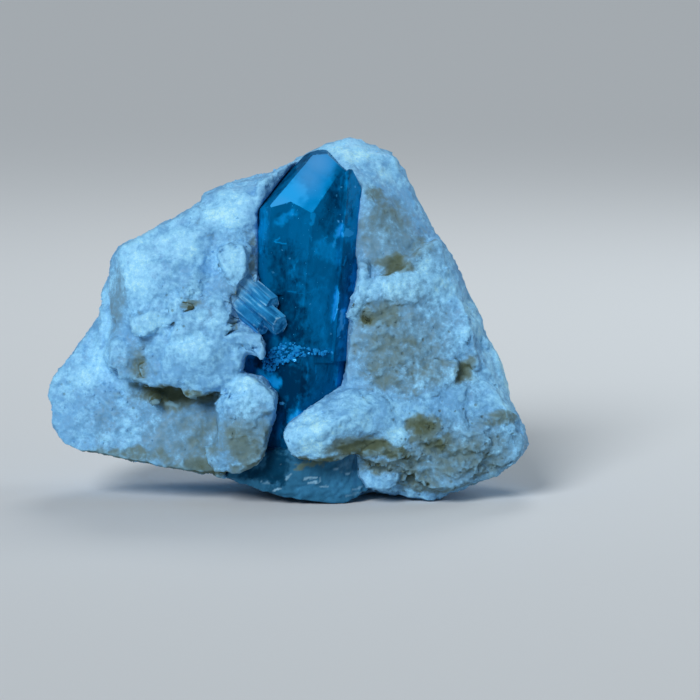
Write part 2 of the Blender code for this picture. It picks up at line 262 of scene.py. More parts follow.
def strokes(places, marks, wander):
    # The strokes (amount, half width, path) at each place. Wide ones are soft and irregular.
    total = np.zeros(len(places))
    for amount, halfWidth, path in marks:
        away = awayFromPath(places + wander * (0.05 + 0.75 * halfWidth), path)
        soft = 0.5 if halfWidth < 0.3 else 0.95
        inside = 1.0 - softStep(away, halfWidth * (1.0 - soft), halfWidth * (1.0 + soft))
        total = np.maximum(total, amount * inside)
    return total


def fractalAt(points, size, shift, octaves=3):
    return np.array([noise.fractal(Vector(p), 0.9, 2.0, octaves) for p in points / size + shift])


def wanderAt(points, size, shift=3.0):
    # How far a mark strays in x and z at each point.
    return np.stack((fractalAt(points, size, shift), fractalAt(points, size, shift + 5.0)),
                    axis=1)


def keepLargestBody(obj):
    # Drops the crumbs that the cuts leave loose.
    bm = bmesh.new()
    bm.from_mesh(obj.data)
    left = set(bm.verts)
    bodies = []
    while left:
        stack = [left.pop()]
        body = set(stack)
        while stack:
            for edge in stack.pop().link_edges:
                for vert in edge.verts:
                    if vert in left:
                        left.remove(vert)
                        body.add(vert)
                        stack.append(vert)
        bodies.append(body)
    bodies.sort(key=len)
    for body in bodies[:-1]:
        bmesh.ops.delete(bm, geom=list(body), context="VERTS")
    bm.to_mesh(obj.data)
    bm.free()


def finishPiece(obj, node, material, smooth=False):
    obj.data.transform(Matrix.Scale(mm, 4))
    obj.data.materials.clear()
    obj.data.materials.append(material)
    for polygon in obj.data.polygons:
        polygon.use_smooth = smooth
    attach(obj, "root")
    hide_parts(node)
    print("%s: %d faces" % (obj.name, len(obj.data.polygons)))


studio = {
    "aim": (0.0089, 0.0, 0.021),
    "distance": 0.400,
    "elevation": 8.0,
    "lens": 141.3,
    "floor": (0.70, 0.74, 0.77),
    "floorReach": 9.0,
    "skyColour": (0.62, 0.70, 0.78),
    "sky": 0.20,
    # the sun's direction, strength and softness in degrees
    "sun": ((-0.42, -0.80, 0.62), 2.3, 24.0),
    # name: (place, width, height, watts, colour)
    "lamps": {
        "top": ((0.05, 0.30, 0.45), 0.20, 0.16, 0.50, (1.0, 1.0, 1.0)),
        "right": ((0.40, 0.18, 0.25), 0.20, 0.26, 0.50, (0.90, 0.97, 1.0)),
    },
}


def makeLamp(name, kind, place, aim):
    lamp = bpy.data.lights.new(name, kind)
    obj = bpy.data.objects.new(name, lamp)
    obj.location = place
    obj.rotation_euler = (aim - Vector(place)).to_track_quat("-Z", "Y").to_euler()
    bpy.context.scene.collection.objects.link(obj)
    return lamp


def makeStudio():
    scene = bpy.context.scene
    scene.view_settings.view_transform = "Standard"
    tilt = math.radians(studio["elevation"])
    aim = Vector(studio["aim"])
    lens = bpy.data.cameras.new("camera")
    lens.sensor_width = 36.0
    lens.lens = studio["lens"]
    lens.clip_start = 0.01
    camera = bpy.data.objects.new("camera", lens)
    camera.location = aim + Vector((0.0, -math.cos(tilt), math.sin(tilt))) * studio["distance"]
    camera.rotation_euler = (math.pi / 2.0 - tilt, 0.0, 0.0)
    scene.collection.objects.link(camera)
    scene.camera = camera

    world = bpy.data.worlds.new("studio")
    world.use_nodes = True
    graph = Graph(world.node_tree)
    sky = graph.add("ShaderNodeBackground", {}, {
        "Color": (*studio["skyColour"], 1.0), "Strength": studio["sky"]})
    graph.add("ShaderNodeOutputWorld", {}, {"Surface": sky})
    scene.world = world

    place, strength, softness = studio["sun"]
    sun = makeLamp("sun", "SUN", aim + Vector(place), aim)
    sun.energy = strength
    sun.angle = math.radians(softness)
    for name, (place, width, height, watts, colour) in studio["lamps"].items():
        lamp = makeLamp(name, "AREA", place, aim)
        lamp.shape = "RECTANGLE"
        lamp.size = width
        lamp.size_y = height
        lamp.energy = watts
        lamp.color = colour

    bm = bmesh.new()
    bmesh.ops.create_circle(bm, cap_ends=True, segments=96, radius=studio["floorReach"])
    floor = makeObject("floor", bm)
    material, graph = newMaterial("floor")
    shaderOutput(graph, graph.add("ShaderNodeBsdfPrincipled", {}, {
        "Base Color": (*studio["floor"], 1.0), "Roughness": 0.9, "Specular IOR Level": 0.1}))
    floor.data.materials.append(material)


makeStudio()
print("studio ready")


# A prism is the space behind a set of planes. Each side is an angle about the axis, 0 towards
# the viewer and positive to +X, with its distance from the axis. Each end is a normal and a
# point on the face.

crystalForm = {
    "axisFoot": (0.25, -2.2, 0.0),
    "lean": 4.5,
    "broadFace": ((-0.076, -0.656, 0.751), (3.4, -11.1, 42.0)),
    "leftFace": ((-0.612, -0.209, 0.764), (-2.24, -9.3, 43.0)),
    "edgeBevel": 0.07,
    "bevelAngle": 12.0,  # degrees: flatter edges get no bevel
    "cube": 120.0,  # what every prism is cut from
    "middle": 25.0,  # a place on the axis that is inside the cube
    "stumpGrow": -0.02,  # keeps the stump's faces clear of the shaft's
    "paintCell": 0.75,
    "paintLevels": 2,
}
crystalForm["prisms"] = {
    "main": dict(
        sides=[(-33, 7.46), (30, 7.6), (-62, 7.4), (60, 7.4), (-90, 7.45), (90, 7.45),
               (-150, 7.6), (150, 7.6)],
        span=(20.7, 52.0),
        ends=[crystalForm["broadFace"], crystalForm["leftFace"],
              ((0.493, -0.749, 0.438), (4.2, -10.7, 42.0)),
              ((-0.793, 0.172, 0.584), (-2.39, -4.1, 44.3)),
              ((-0.834, 0.150, 0.530), (-2.39, -4.09, 44.3)),
              ((-0.426, 0.193, 0.884), (1.31, 1.04, 48.67)),
              ((-0.330, 0.345, 0.879), (3.69, 1.5, 49.97)),
              ((-0.056, -0.119, 0.991), (4.17, -2.54, 49.56)),
              ((0.580, -0.094, 0.809), (5.9, -2.88, 49.44)),
              ((0.682, 0.198, 0.704), (5.64, 2.0, 49.97)),
              ((0.887, 0.155, 0.436), (7.28, 0.5, 48.8)),
              ((0.100, 0.600, 0.790), (4.6, 2.2, 50.3))]),
    "right": dict(
        sides=[(-60, -0.57), (55, 7.87), (90, 7.4), (180, 0.0)],
        span=(21.0, 49.0),
        ends=[((-0.551, 0.240, 0.799), (7.34, -6.5, 46.35)),
              ((-0.197, 0.286, 0.938), (8.55, -7.6, 47.51)),
              ((0.799, 0.220, 0.560), (9.17, -7.4, 47.58)),
              ((0.908, 0.193, 0.371), (10.32, -6.0, 45.39))]),
    "left": dict(
        sides=[(12, 6.08), (-58, 8.87), (-90, 7.55), (90, -2.0), (180, 2.0)],
        span=(30.0, 46.0),
        ends=[crystalForm["broadFace"], crystalForm["leftFace"],
              ((-0.793, 0.172, 0.584), (-2.39, -4.1, 44.3))]),
    "lower": dict(
        sides=[(-32, 7.35), (34, 7.40), (-66, 8.9), (64, 7.2), (-90, 8.3), (90, 7.2),
               (-150, 7.6), (150, 7.6)],
        span=(7.4, 23.6),
        ends=[((-0.25, -0.35, 0.90), (-5.8, -7.0, 23.2))]),
}


def crystalFrame():
    lean = math.radians(crystalForm["lean"])
    return Matrix.Translation(crystalForm["axisFoot"]) @ Matrix.Rotation(lean, 4, "Y")


def prismPlanes(prism, place):
    turn = place.to_3x3()
    planes = []
    for angle, distance in prism["sides"]:
        angle = math.radians(angle)
        local = Vector((math.sin(angle), -math.cos(angle), 0.0))
        planes.append(((turn @ local).normalized(), place @ (local * distance)))
    up = (turn @ Vector((0.0, 0.0, 1.0))).normalized()
    bottom, top = prism["span"]
    planes.append((-up, place @ Vector((0.0, 0.0, bottom))))
    planes.append((up, place @ Vector((0.0, 0.0, top))))
    for normal, point in prism["ends"]:
        planes.append((Vector(normal).normalized(), Vector(point)))
    return planes


def prismObject(name, planes, middle, grow=0.0):
    bm = bmesh.new()
    bmesh.ops.create_cube(bm, size=crystalForm["cube"], matrix=Matrix.Translation(middle))
    for normal, point in planes:
        everything = bm.verts[:] + bm.edges[:] + bm.faces[:]
        cut = bmesh.ops.bisect_plane(
            bm, geom=everything, dist=1e-6, plane_co=point + normal * grow, plane_no=normal,
            clear_outer=True)
        rim = [e for e in cut["geom_cut"] if isinstance(e, bmesh.types.BMEdge)]
        if rim:
            bmesh.ops.edgenet_fill(bm, edges=rim)
    return makeObject(name, bm)


def crystalPrism(name, grow=0.0):
    place = crystalFrame()
    planes = prismPlanes(crystalForm["prisms"][name], place)
    middle = place @ Vector((0.0, 0.0, crystalForm["middle"]))
    return prismObject(name, planes, middle, grow)


def planeDistance(points, planes):
    # Negative inside: how far each point is past the nearest plane of a convex body.
    away = np.full(len(points), -1e9)
    for normal, point in planes:
        n = np.array(normal)
        away = np.maximum(away, points @ n - float(n @ np.array(point)))
    return away


footForm = {
    "corners": [
        (-9.2, -9.6, 3.9), (-4.5, -10.2, 2.9), (-0.2, -10.3, 1.0), (4.2, -9.8, 0.4),
        (6.6, -9.6, 0.0), (8.4, -9.2, 0.0), (11.6, -8.0, 1.8), (11.6, -8.2, 5.5),
        (8.9, -9.0, 8.0), (1.8, -11.2, 8.5), (-5.5, -9.0, 8.0), (-8.6, -7.0, 5.5),
        (-6.0, 3.0, 2.0), (9.0, 3.0, 1.5), (-3.0, 0.0, 0.1), (7.5, 0.0, 0.1),
        (-4.0, 4.0, 8.0), (8.0, 4.0, 8.0),
    ],
    "cell": 0.28,
    "rippleCentre": (0.5, -9.5, 9.5),
    "rippleLength": 1.15,
    "rippleHeight": 0.24,
    # noises that bend the ripples and roughen the surface: size, height
    "bend": (3.0, 1.2),
    "chip": (1.6, 0.25),
    "inset": 0.1,
}


def footHull(name):
    bm = bmesh.new()
    addHull(bm, footForm["corners"])
    return makeObject(name, bm)


def footPlanes():
    bm = bmesh.new()
    addHull(bm, footForm["corners"])
    planes = [(face.normal.copy(), face.calc_center_median()) for face in bm.faces]
    corners = footForm["corners"]
    middle = sum((Vector(corner) for corner in corners), Vector()) / len(corners)
    planes = [(n if n.dot(p - middle) > 0 else -n, p) for n, p in planes]
    bm.free()
    return planes


def crystalDistance(points):
    # How far each point is outside the crystal and its foot.
    place = crystalFrame()
    bodies = [prismPlanes(prism, place) for prism in crystalForm["prisms"].values()]
    bodies.append(footPlanes())
    return np.min([planeDistance(points, body) for body in bodies], axis=0)


def crystalSocket(grow):
    body = crystalPrism("main", grow)
    for name in ("right", "left", "lower"):
        combine(body, crystalPrism(name, grow), "UNION")
    combine(body, footHull("foot"), "UNION")
    return body


rockForm = {
    "firstCell": 0.36,
    "cell": 0.28,
    "hollowCell": 0.2,
    "socketGrow": -0.12,  # the rock closes on the crystal, so that no gap shows
    "groundCube": 100.0,
    "mostFaces": 192000,
    # The back is thinned: from y to y, the least share that it keeps, how strongly
    "thinBack": (-4.0, 2.0),
    "thinLeast": 0.03,
    "thinFactor": 20.0,
    # Blocks: the y that each convex chunk runs back to, and the corners of its seen side
    "blocks": {
        "left shoulder": (2.0, [
            (-23.6, -7.5, 36.9), (-18.5, -6.5, 39.6), (-12.4, -6.0, 42.7), (-10.9, -8.4, 40.0),
            (-11.2, -9.4, 32.0), (-13.7, -10.6, 26.0), (-22.0, -9.8, 25.3), (-25.1, -7.0, 24.1),
            (-25.7, -5.0, 34.4), (-17.5, -11.4, 33.0), (-22.8, -9.9, 31.0)]),
        "lower shoulder": (-2.0, [
            (-25.0, -8.0, 25.0), (-17.2, -11.2, 25.5), (-17.3, -11.3, 16.9),
            (-19.5, -10.8, 17.3), (-23.9, -9.0, 18.5), (-26.6, -5.0, 20.0)]),
        "left strip": (4.0, [
            (-27.2, -1.0, 30.8), (-25.4, -2.0, 31.9), (-24.9, -7.0, 18.4), (-27.5, -4.0, 22.5),
            (-27.0, -1.5, 26.5)]),
        "lobe": (-5.0, [
            (-17.2, -12.3, 23.5), (-12.2, -12.8, 25.3), (-7.5, -11.8, 24.6), (-5.9, -10.5, 22.5),
            (-6.5, -10.5, 19.3), (-8.8, -11.3, 17.0), (-13.7, -11.8, 16.7), (-18.0, -12.0, 18.1),
            (-11.5, -14.2, 21.5)]),
        "upper step": (-5.0, [
            (-15.3, -11.8, 29.6), (-14.2, -11.4, 32.5), (-13.1, -10.8, 33.9),
            (-11.6, -10.5, 33.8), (-12.4, -11.3, 31.4), (-13.6, -12.0, 30.1)]),
        "middle step": (-5.0, [
            (-17.0, -12.3, 24.6), (-15.1, -12.0, 27.2), (-13.0, -11.6, 29.4),
            (-10.6, -11.0, 29.2), (-10.0, -11.6, 26.0), (-11.4, -12.4, 26.6),
            (-14.0, -13.0, 25.6), (-15.7, -13.0, 24.7)]),
        "middle left": (3.0, [
            (-11.8, -5.0, 43.6), (-4.0, -5.0, 44.4), (-4.2, -8.2, 32.1), (-6.7, -9.4, 29.4),
            (-7.2, -9.5, 24.6), (-13.0, -10.3, 24.6), (-12.7, -8.4, 37.8), (-7.0, -8.7, 38.5),
            (-4.3, -7.9, 38.5)]),
        "upper left block": (2.0, [
            (-12.5, -5.5, 42.4), (-12.2, -4.0, 44.5), (-8.1, -3.5, 45.6), (-3.7, -3.0, 46.6),
            (-4.0, -7.5, 43.5), (-4.4, -8.3, 40.2), (-7.2, -9.2, 39.6), (-10.8, -8.6, 39.9),
            (-12.1, -7.5, 41.2)]),
        "white plate": (-5.0, [
            (-10.0, -8.6, 35.8), (-7.8, -8.3, 37.0), (-6.8, -8.3, 36.7), (-5.5, -9.0, 35.3),
            (-6.1, -9.6, 33.0), (-7.3, -10.0, 31.6), (-8.6, -10.0, 32.0), (-9.5, -9.4, 33.5)]),
        "scalloped plate": (-8.0, [
            (-8.4, -10.6, 26.5), (-6.1, -10.8, 26.5), (-3.5, -11.4, 24.9), (-3.1, -11.6, 23.3),
            (-3.5, -11.6, 20.9), (-5.2, -11.4, 22.3), (-6.7, -11.2, 22.7), (-8.1, -10.8, 23.5)]),
        "crystal back": (8.0, [
            (-4.0, 0.5, 45.8), (0.3, 1.5, 47.2), (3.5, 1.5, 49.1), (6.0, 0.0, 50.0),
            (-4.5, 0.0, 30.0), (8.0, 0.0, 30.0)]),
        "crystal shoulder": (3.0, [
            (-4.3, -7.0, 46.0), (-4.3, -7.8, 42.6), (-3.7, -7.4, 42.7), (-2.3, -5.6, 44.5),
            (1.3, -0.6, 48.8), (-0.4, -2.6, 48.1), (-2.8, -5.0, 46.9)]),
        "left slab": (3.0, [
            (-34.6, -5.0, 15.9), (-33.9, -4.0, 17.9), (-27.5, -2.0, 25.7), (-23.0, -6.0, 18.2),
            (-10.4, -7.0, 15.6), (-7.5, -7.0, 15.0), (-8.5, -9.0, 3.4), (-10.8, -9.0, 3.8),
            (-16.0, -9.2, 4.6), (-22.5, -9.2, 5.8), (-31.2, -8.0, 7.3), (-33.9, -6.5, 10.4)]),
        "tooth": (-4.0, [
            (-7.2, -9.5, 18.3), (-3.6, -10.5, 18.5), (-1.5, -12.0, 16.0), (-1.6, -12.6, 14.5),
            (-5.2, -14.8, 14.2), (-10.2, -12.4, 15.2), (-9.9, -12.6, 6.6), (-7.4, -12.8, 4.8),
            (-3.6, -12.6, 6.5), (-2.5, -13.0, 11.3)]),
        "right peak": (6.0, [
            (1.5, 0.0, 48.6), (5.3, 2.5, 51.2), (8.9, 2.5, 51.8), (14.8, 2.0, 49.7),
            (16.7, 1.0, 47.0), (21.0, -1.0, 38.4), (22.2, -3.0, 34.4), (16.0, -7.5, 34.7),
            (11.2, -8.0, 32.9), (10.6, -6.5, 44.9), (8.2, -4.0, 48.2)]),
        "bright ledge": (2.0, [
            (11.8, -9.2, 31.9), (13.6, -9.4, 33.6), (17.0, -8.8, 35.2), (21.5, -5.5, 37.8),
            (23.8, -3.5, 34.9), (25.9, -4.0, 29.5), (24.1, -6.6, 29.4), (18.5, -9.3, 29.0),
            (15.0, -9.9, 29.0), (12.2, -9.7, 30.0)]),
        "edge grain": (-5.0, [
            (8.3, -9.9, 27.0), (8.9, -10.2, 29.0), (9.6, -10.0, 30.0), (10.7, -9.4, 29.5),
            (10.6, -9.4, 27.8), (9.8, -9.8, 26.5), (9.5, -10.8, 28.5)]),
        "right field": (3.0, [
            (8.6, -8.4, 25.1), (10.2, -8.3, 33.0), (12.4, -9.4, 29.7), (23.9, -6.9, 29.6),
            (27.5, -5.5, 24.7), (27.1, -7.0, 19.8), (24.6, -8.3, 16.7), (20.3, -10.3, 12.4),
            (16.0, -11.4, 12.0), (8.2, -10.0, 17.0), (28.3, -1.0, 26.8)]),
        "right corner": (3.0, [
            (21.7, -8.5, 16.7), (27.2, -6.3, 22.4), (29.5, -6.5, 16.4), (34.6, -6.5, 7.5),
            (30.7, -8.0, 4.4), (27.2, -9.0, 3.4), (23.9, -10.0, 8.7), (22.1, -10.2, 12.3),
            (30.8, -2.0, 19.7), (33.3, -3.0, 13.0)]),
        "corner block": (-4.0, [
            (28.8, -9.2, 10.7), (30.4, -8.6, 11.8), (33.6, -7.2, 10.1), (34.8, -7.0, 7.8),
            (32.1, -8.2, 5.6), (28.8, -9.4, 6.7)]),
        "lower ledge": (-5.0, [
            (19.6, -10.9, 9.5), (21.7, -11.0, 10.9), (28.4, -10.0, 10.0), (28.4, -10.0, 8.3),
            (23.9, -10.8, 7.6), (20.3, -11.0, 8.5)]),
        "front lump": (-4.0, [
            (-0.4, -14.0, 11.3), (-0.4, -14.5, 10.1), (0.6, -14.5, 8.1), (1.6, -13.7, 7.2),
            (6.1, -13.5, 6.6), (8.6, -13.0, 7.8), (12.4, -12.5, 9.9), (16.7, -12.0, 11.5),
            (0.6, -13.0, 12.6), (3.4, -12.0, 14.4), (6.1, -11.5, 15.9), (8.2, -11.0, 17.1),
            (11.0, -10.5, 17.2), (16.0, -11.5, 15.2), (4.4, -16.3, 11.7), (8.9, -15.3, 14.0)]),
        "ragged foot": (3.0, [
            (12.1, -7.5, 5.4), (12.2, -8.0, 2.0), (14.0, -6.0, 0.4), (20.4, -6.0, -0.4),
            (26.2, -7.0, 2.2), (30.4, -7.5, 4.4), (27.5, -8.0, 7.6), (18.9, -8.6, 9.6),
            (20.4, -8.5, 1.2)]),
        "pale lumps": (-5.0, [
            (11.9, -9.4, 5.0), (14.3, -9.8, 6.1), (16.7, -10.0, 7.1), (17.8, -9.8, 6.2),
            (15.8, -9.5, 3.0), (13.9, -9.2, 2.0), (11.9, -9.0, 2.2)]),
    },
    # The core behind the blocks: its outline (x, z), and its size at each y about the middle
    "coreOutline": [
        (-26.9, 28.3), (-23.9, 35.8), (-12.1, 42.4), (1.7, 47.5), (8.2, 51.0), (15.0, 49.4),
        (20.8, 38.0), (26.7, 28.1), (31.9, 15.5), (34.9, 6.7), (28.0, 3.8), (-6.0, 3.8),
        (-10.9, 4.6), (-31.0, 8.8), (-34.2, 13.6)],
    "coreMiddle": (1.0, 22.0),
    "coreSections": [(0.0, 1.0), (7.0, 0.93), (13.0, 0.74), (15.6, 0.42)],
    "plinth": [
        (-1.0, -4.0, -2.0), (21.0, -5.0, -2.0), (22.5, 6.0, -2.0), (17.0, 13.5, -2.0),
        (-1.0, 13.5, -2.0), (-5.5, 8.0, -2.0),
        (-9.0, 0.0, 7.0), (26.0, 0.0, 6.0), (-9.0, 12.0, 9.0), (20.0, 14.0, 9.0)],
    # Plates: the y of the front, thickness, outline (x, z)
    "plates": {
        "shoulder nose": (-10.2, 4.0, [(-25.3, 23.4), (-23.8, 24.2), (-22.3, 23.1),
            (-22.3, 20.4), (-22.9, 18.3), (-24.2, 18.4), (-25.3, 20.0)]),
        "low left plate": (-11.9, 3.0, [(-22.1, 27.2), (-20.7, 28.1), (-18.1, 28.6),
            (-16.9, 27.7), (-17.8, 25.7), (-20.0, 24.4), (-21.9, 24.8)]),
        "wedge plate": (-12.3, 2.5, [(-17.1, 29.3), (-15.6, 29.5), (-14.7, 28.6),
            (-15.6, 27.0), (-17.0, 26.6)]),
        "grainy plate": (-12.1, 3.5, [(-12.6, 29.8), (-10.5, 30.8), (-8.1, 29.4), (-7.9, 26.7),
            (-10.0, 24.3), (-12.0, 25.1), (-13.1, 27.5)]),
        "gully plate": (-9.7, 3.0, [(-15.1, 36.8), (-13.4, 37.5), (-11.7, 36.9), (-11.6, 34.9),
            (-12.7, 33.8), (-14.7, 33.9)]),
        "upper bead": (-9.6, 2.0, [(-5.9, 37.0), (-5.4, 37.3), (-4.9, 36.9), (-5.1, 35.8),
            (-5.8, 35.6)]),
        "middle bead": (-10.2, 2.0, [(-4.9, 32.8), (-4.4, 33.3), (-3.8, 32.6), (-4.1, 31.6),
            (-4.8, 31.7)]),
        "left bead": (-11.2, 2.0, [(-9.0, 31.7), (-8.4, 31.7), (-8.2, 31.0), (-8.4, 30.3),
            (-9.0, 30.5)]),
        "low bead": (-11.4, 2.0, [(-7.7, 31.0), (-6.6, 31.3), (-6.5, 30.4), (-7.3, 30.0)]),
        "upper scallop": (-12.7, 1.2, [(-8.1, 25.2), (-6.2, 25.8), (-4.6, 25.1), (-3.9, 23.9),
            (-4.6, 23.2), (-6.2, 23.4), (-7.4, 23.9)]),
        "lower scallop": (-13.2, 1.0, [(-5.6, 25.1), (-4.0, 25.1), (-2.9, 24.1), (-3.1, 21.9),
            (-3.6, 21.3), (-4.5, 22.9), (-5.4, 23.8)]),
        "lobe shell": (-11.6, 4.0, [(-11.6, 24.3), (-6.9, 24.9), (-5.7, 22.8), (-6.2, 20.1),
            (-8.2, 17.2), (-11.2, 16.3), (-14.0, 16.8)]),
        "lobe rim": (-12.5, 3.0, [(-9.1, 24.2), (-6.6, 23.9), (-6.2, 21.9), (-7.5, 19.3),
            (-9.7, 17.3), (-12.3, 17.2)]),
        "first tooth": (-11.8, 1.6, [(-15.0, 17.4), (-13.6, 17.2), (-14.3, 15.5)]),
        "second tooth": (-11.6, 1.6, [(-14.0, 17.1), (-12.5, 16.9), (-13.5, 14.8)]),
        "third tooth": (-11.4, 1.6, [(-12.6, 16.9), (-10.8, 16.7), (-12.2, 15.2)]),
        "recess plate": (-9.9, 2.5, [(-20.0, 15.8), (-18.4, 16.4), (-17.6, 15.6),
            (-18.1, 14.5), (-19.6, 14.3)]),
        "tooth top": (-13.9, 5.0, [(-9.1, 14.7), (-7.8, 17.0), (-7.0, 19.0), (-5.6, 19.1),
            (-3.5, 17.8), (-1.4, 16.1), (-1.7, 14.3), (-3.8, 13.6), (-6.6, 13.3), (-8.6, 13.4)]),
        "edge layer one": (-13.8, 2.0, [(-4.6, 12.5), (-2.4, 13.1), (-2.8, 11.4), (-4.5, 10.8)]),
        "edge layer two": (-14.1, 2.0, [(-5.2, 10.6), (-2.8, 11.2), (-3.1, 9.3), (-5.1, 8.9)]),
        "edge layer three": (-13.8, 2.0, [(-5.8, 8.5), (-3.2, 9.1), (-3.7, 7.0), (-5.7, 6.5)]),
        "green chip one": (-11.4, 2.0, [(-12.1, 8.8), (-10.6, 8.4), (-9.9, 6.5), (-11.4, 6.2)]),
        "green chip two": (-12.2, 2.5, [(-10.5, 7.5), (-8.4, 7.4), (-8.1, 5.5), (-10.0, 5.1)]),
        "green chip three": (-12.7, 2.5, [(-8.2, 7.2), (-6.0, 6.6), (-6.3, 5.0), (-8.0, 4.6)]),
        "edge lump high": (-9.3, 3.0, [(9.9, 34.9), (10.9, 35.3), (11.7, 34.3), (11.4, 32.7),
            (10.0, 32.5)]),
        "upper rib": (-8.0, 3.0, [(23.4, 29.4), (24.8, 29.1), (26.2, 26.2), (26.5, 22.9),
            (25.1, 23.4), (23.8, 26.8)]),
        "lower rib": (-8.2, 3.0, [(25.4, 23.0), (26.8, 22.4), (27.6, 19.9), (26.9, 18.8),
            (25.4, 20.5)]),
        "ridge plate": (-10.3, 3.5, [(17.7, 18.5), (21.2, 20.8), (24.6, 20.5), (23.9, 18.5),
            (21.2, 15.8), (18.8, 13.7), (16.6, 14.8)]),
        "round plate": (-10.2, 3.0, [(22.4, 16.4), (23.8, 17.2), (25.5, 16.8), (25.8, 15.4),
            (24.4, 14.2), (22.7, 14.6)]),
        "blue block": (-10.9, 4.0, [(20.7, 13.9), (22.8, 14.5), (25.3, 14.2), (25.6, 11.5),
            (23.2, 10.6), (21.0, 11.0)]),
        "right block": (-9.8, 4.0, [(26.2, 14.7), (28.8, 15.0), (30.7, 13.8), (30.4, 11.8),
            (28.1, 11.0), (26.3, 11.4)]),
        "corner block front": (-9.1, 4.0, [(28.7, 10.7), (30.3, 11.5), (32.3, 12.0),
            (34.2, 8.4), (32.1, 6.0), (30.4, 5.5), (28.9, 6.4), (28.5, 8.6)]),
        "gap fill low": (-10.9, 4.0, [(-19.4, 25.2), (-12.6, 26.1), (-10.3, 24.0),
            (-13.7, 22.5), (-18.8, 22.8)]),
        "gap fill high": (-10.2, 4.0, [(-10.5, 29.6), (-7.0, 27.9), (-5.8, 24.7), (-7.8, 23.1),
            (-10.4, 25.3)]),
        "gap fill left": (-10.6, 4.0, [(-15.7, 31.0), (-12.3, 33.6), (-9.2, 32.5),
            (-9.2, 29.6), (-12.9, 27.9), (-15.4, 28.8)]),
        "right fill": (-9.6, 6.0, [(19.7, 17.5), (23.1, 18.6), (26.5, 18.3), (30.0, 16.3),
            (31.3, 13.4), (31.1, 10.8), (28.6, 9.4), (26.3, 5.3), (20.3, 4.5), (17.8, 6.2),
            (18.3, 9.4), (19.4, 12.3)]),
        "corner fill": (-8.7, 5.0, [(28.3, 15.3), (30.9, 14.7), (32.6, 12.4), (32.9, 10.1),
            (30.4, 8.4), (28.1, 9.2)]),
        "toe beside the foot": (-9.9, 4.0, [(9.8, 8.3), (12.6, 8.6), (14.3, 5.4), (14.0, 2.5),
            (11.5, 2.2), (9.9, 3.9)]),
        "blade side fill": (-9.0, 4.0, [(-8.7, 30.0), (-7.0, 30.0), (-5.6, 27.7), (-5.6, 25.7),
            (-7.3, 24.6), (-9.3, 26.6)]),
        "bead fill": (-10.0, 4.0, [(20.3, 17.2), (22.5, 17.2), (23.4, 14.6), (20.9, 14.1)]),
        "thin ledge": (-11.2, 3.0, [(21.9, 10.8), (25.6, 10.9), (28.3, 11.2), (28.2, 10.2),
            (23.4, 9.8)]),
        "ledge tip": (-11.2, 3.0, [(24.6, 9.2), (28.6, 9.8), (28.3, 8.5), (26.5, 7.9),
            (25.1, 8.3)]),
        "cavity shelf": (-12.9, 3.0, [(13.1, 10.8), (15.1, 11.4), (17.1, 11.0), (17.5, 9.2),
            (15.6, 8.7), (13.7, 9.7)]),
        "flank block": (-9.5, 3.0, [(21.3, 7.0), (23.7, 7.7), (26.9, 6.9), (26.2, 4.6),
            (23.3, 3.3), (21.6, 4.4)]),
        "flank lump": (-11.2, 3.0, [(14.7, 7.4), (17.0, 8.1), (19.3, 7.1), (19.0, 5.6),
            (16.7, 5.0), (15.0, 5.9)]),
        "pale bead": (-11.2, 2.5, [(17.7, 5.2), (18.3, 5.6), (19.0, 5.2), (18.7, 4.0),
            (17.9, 4.0)]),
        "flank toe": (-8.5, 3.0, [(19.5, 3.5), (23.1, 2.9), (21.9, 1.3), (19.1, 1.3)]),
        "blade root cover": (-10.9, 4.0, [(-10.6, 32.5), (-9.1, 33.6), (-7.7, 32.5),
            (-8.0, 31.2), (-9.2, 30.1), (-10.4, 30.8)]),
        "cavity floor": (-9.8, 5.0, [(12.0, 9.1), (14.6, 10.9), (17.5, 11.6), (20.0, 10.0),
            (20.3, 7.7), (17.5, 6.5), (13.8, 6.8)]),
        "fill chip two": (-11.9, 3.0, [(12.9, 7.6), (14.3, 7.0), (13.7, 5.7), (12.5, 6.3)]),
        "fill chip three": (-12.4, 3.0, [(15.4, 9.4), (17.1, 8.9), (16.6, 7.6), (15.1, 8.1)]),
        "jag one": (-12.0, 3.0, [(17.1, 8.9), (18.4, 9.2), (19.4, 7.6), (18.3, 6.5),
            (17.3, 7.2)]),
        "jag two": (-10.9, 3.0, [(19.4, 8.6), (20.4, 9.0), (20.8, 7.1), (20.0, 6.3)]),
        "jag three": (-10.3, 3.0, [(22.6, 6.4), (24.3, 7.0), (24.8, 5.3), (23.4, 4.1),
            (22.3, 5.0)]),
        "jag four": (-10.5, 3.0, [(19.6, 5.6), (21.1, 6.1), (21.3, 4.2), (20.0, 3.4),
            (19.0, 4.3)]),
        "plate over the blades": (-11.3, 4.0, [(-9.5, 36.9), (-8.4, 37.5), (-6.2, 37.2),
            (-5.5, 36.2), (-5.6, 34.1), (-6.3, 32.4), (-7.3, 31.4), (-8.3, 32.5), (-9.1, 34.2),
            (-10.1, 35.7)]),
        "under lump fill": (-11.9, 7.0, [(8.9, 8.1), (9.5, 9.8), (11.2, 10.9), (13.7, 11.5),
            (15.7, 10.4), (15.7, 6.9), (12.6, 6.0), (11.9, 7.5)]),
        "tooth foot": (-12.2, 4.0, [(-10.5, 9.8), (-7.8, 9.0), (-3.6, 8.7), (-3.7, 6.7),
            (-6.0, 6.2), (-7.8, 5.8), (-9.3, 4.8), (-10.7, 5.4)]),
        "corner tip": (-7.4, 6.0, [(30.4, 11.6), (33.0, 12.5), (34.9, 7.8), (32.0, 4.9),
            (29.5, 3.9), (28.4, 7.5)]),
        "right notch": (-4.0, 5.0, [(27.3, 24.5), (28.2, 24.5), (30.5, 20.5), (31.3, 16.9),
            (29.1, 17.2), (27.3, 21.6)]),
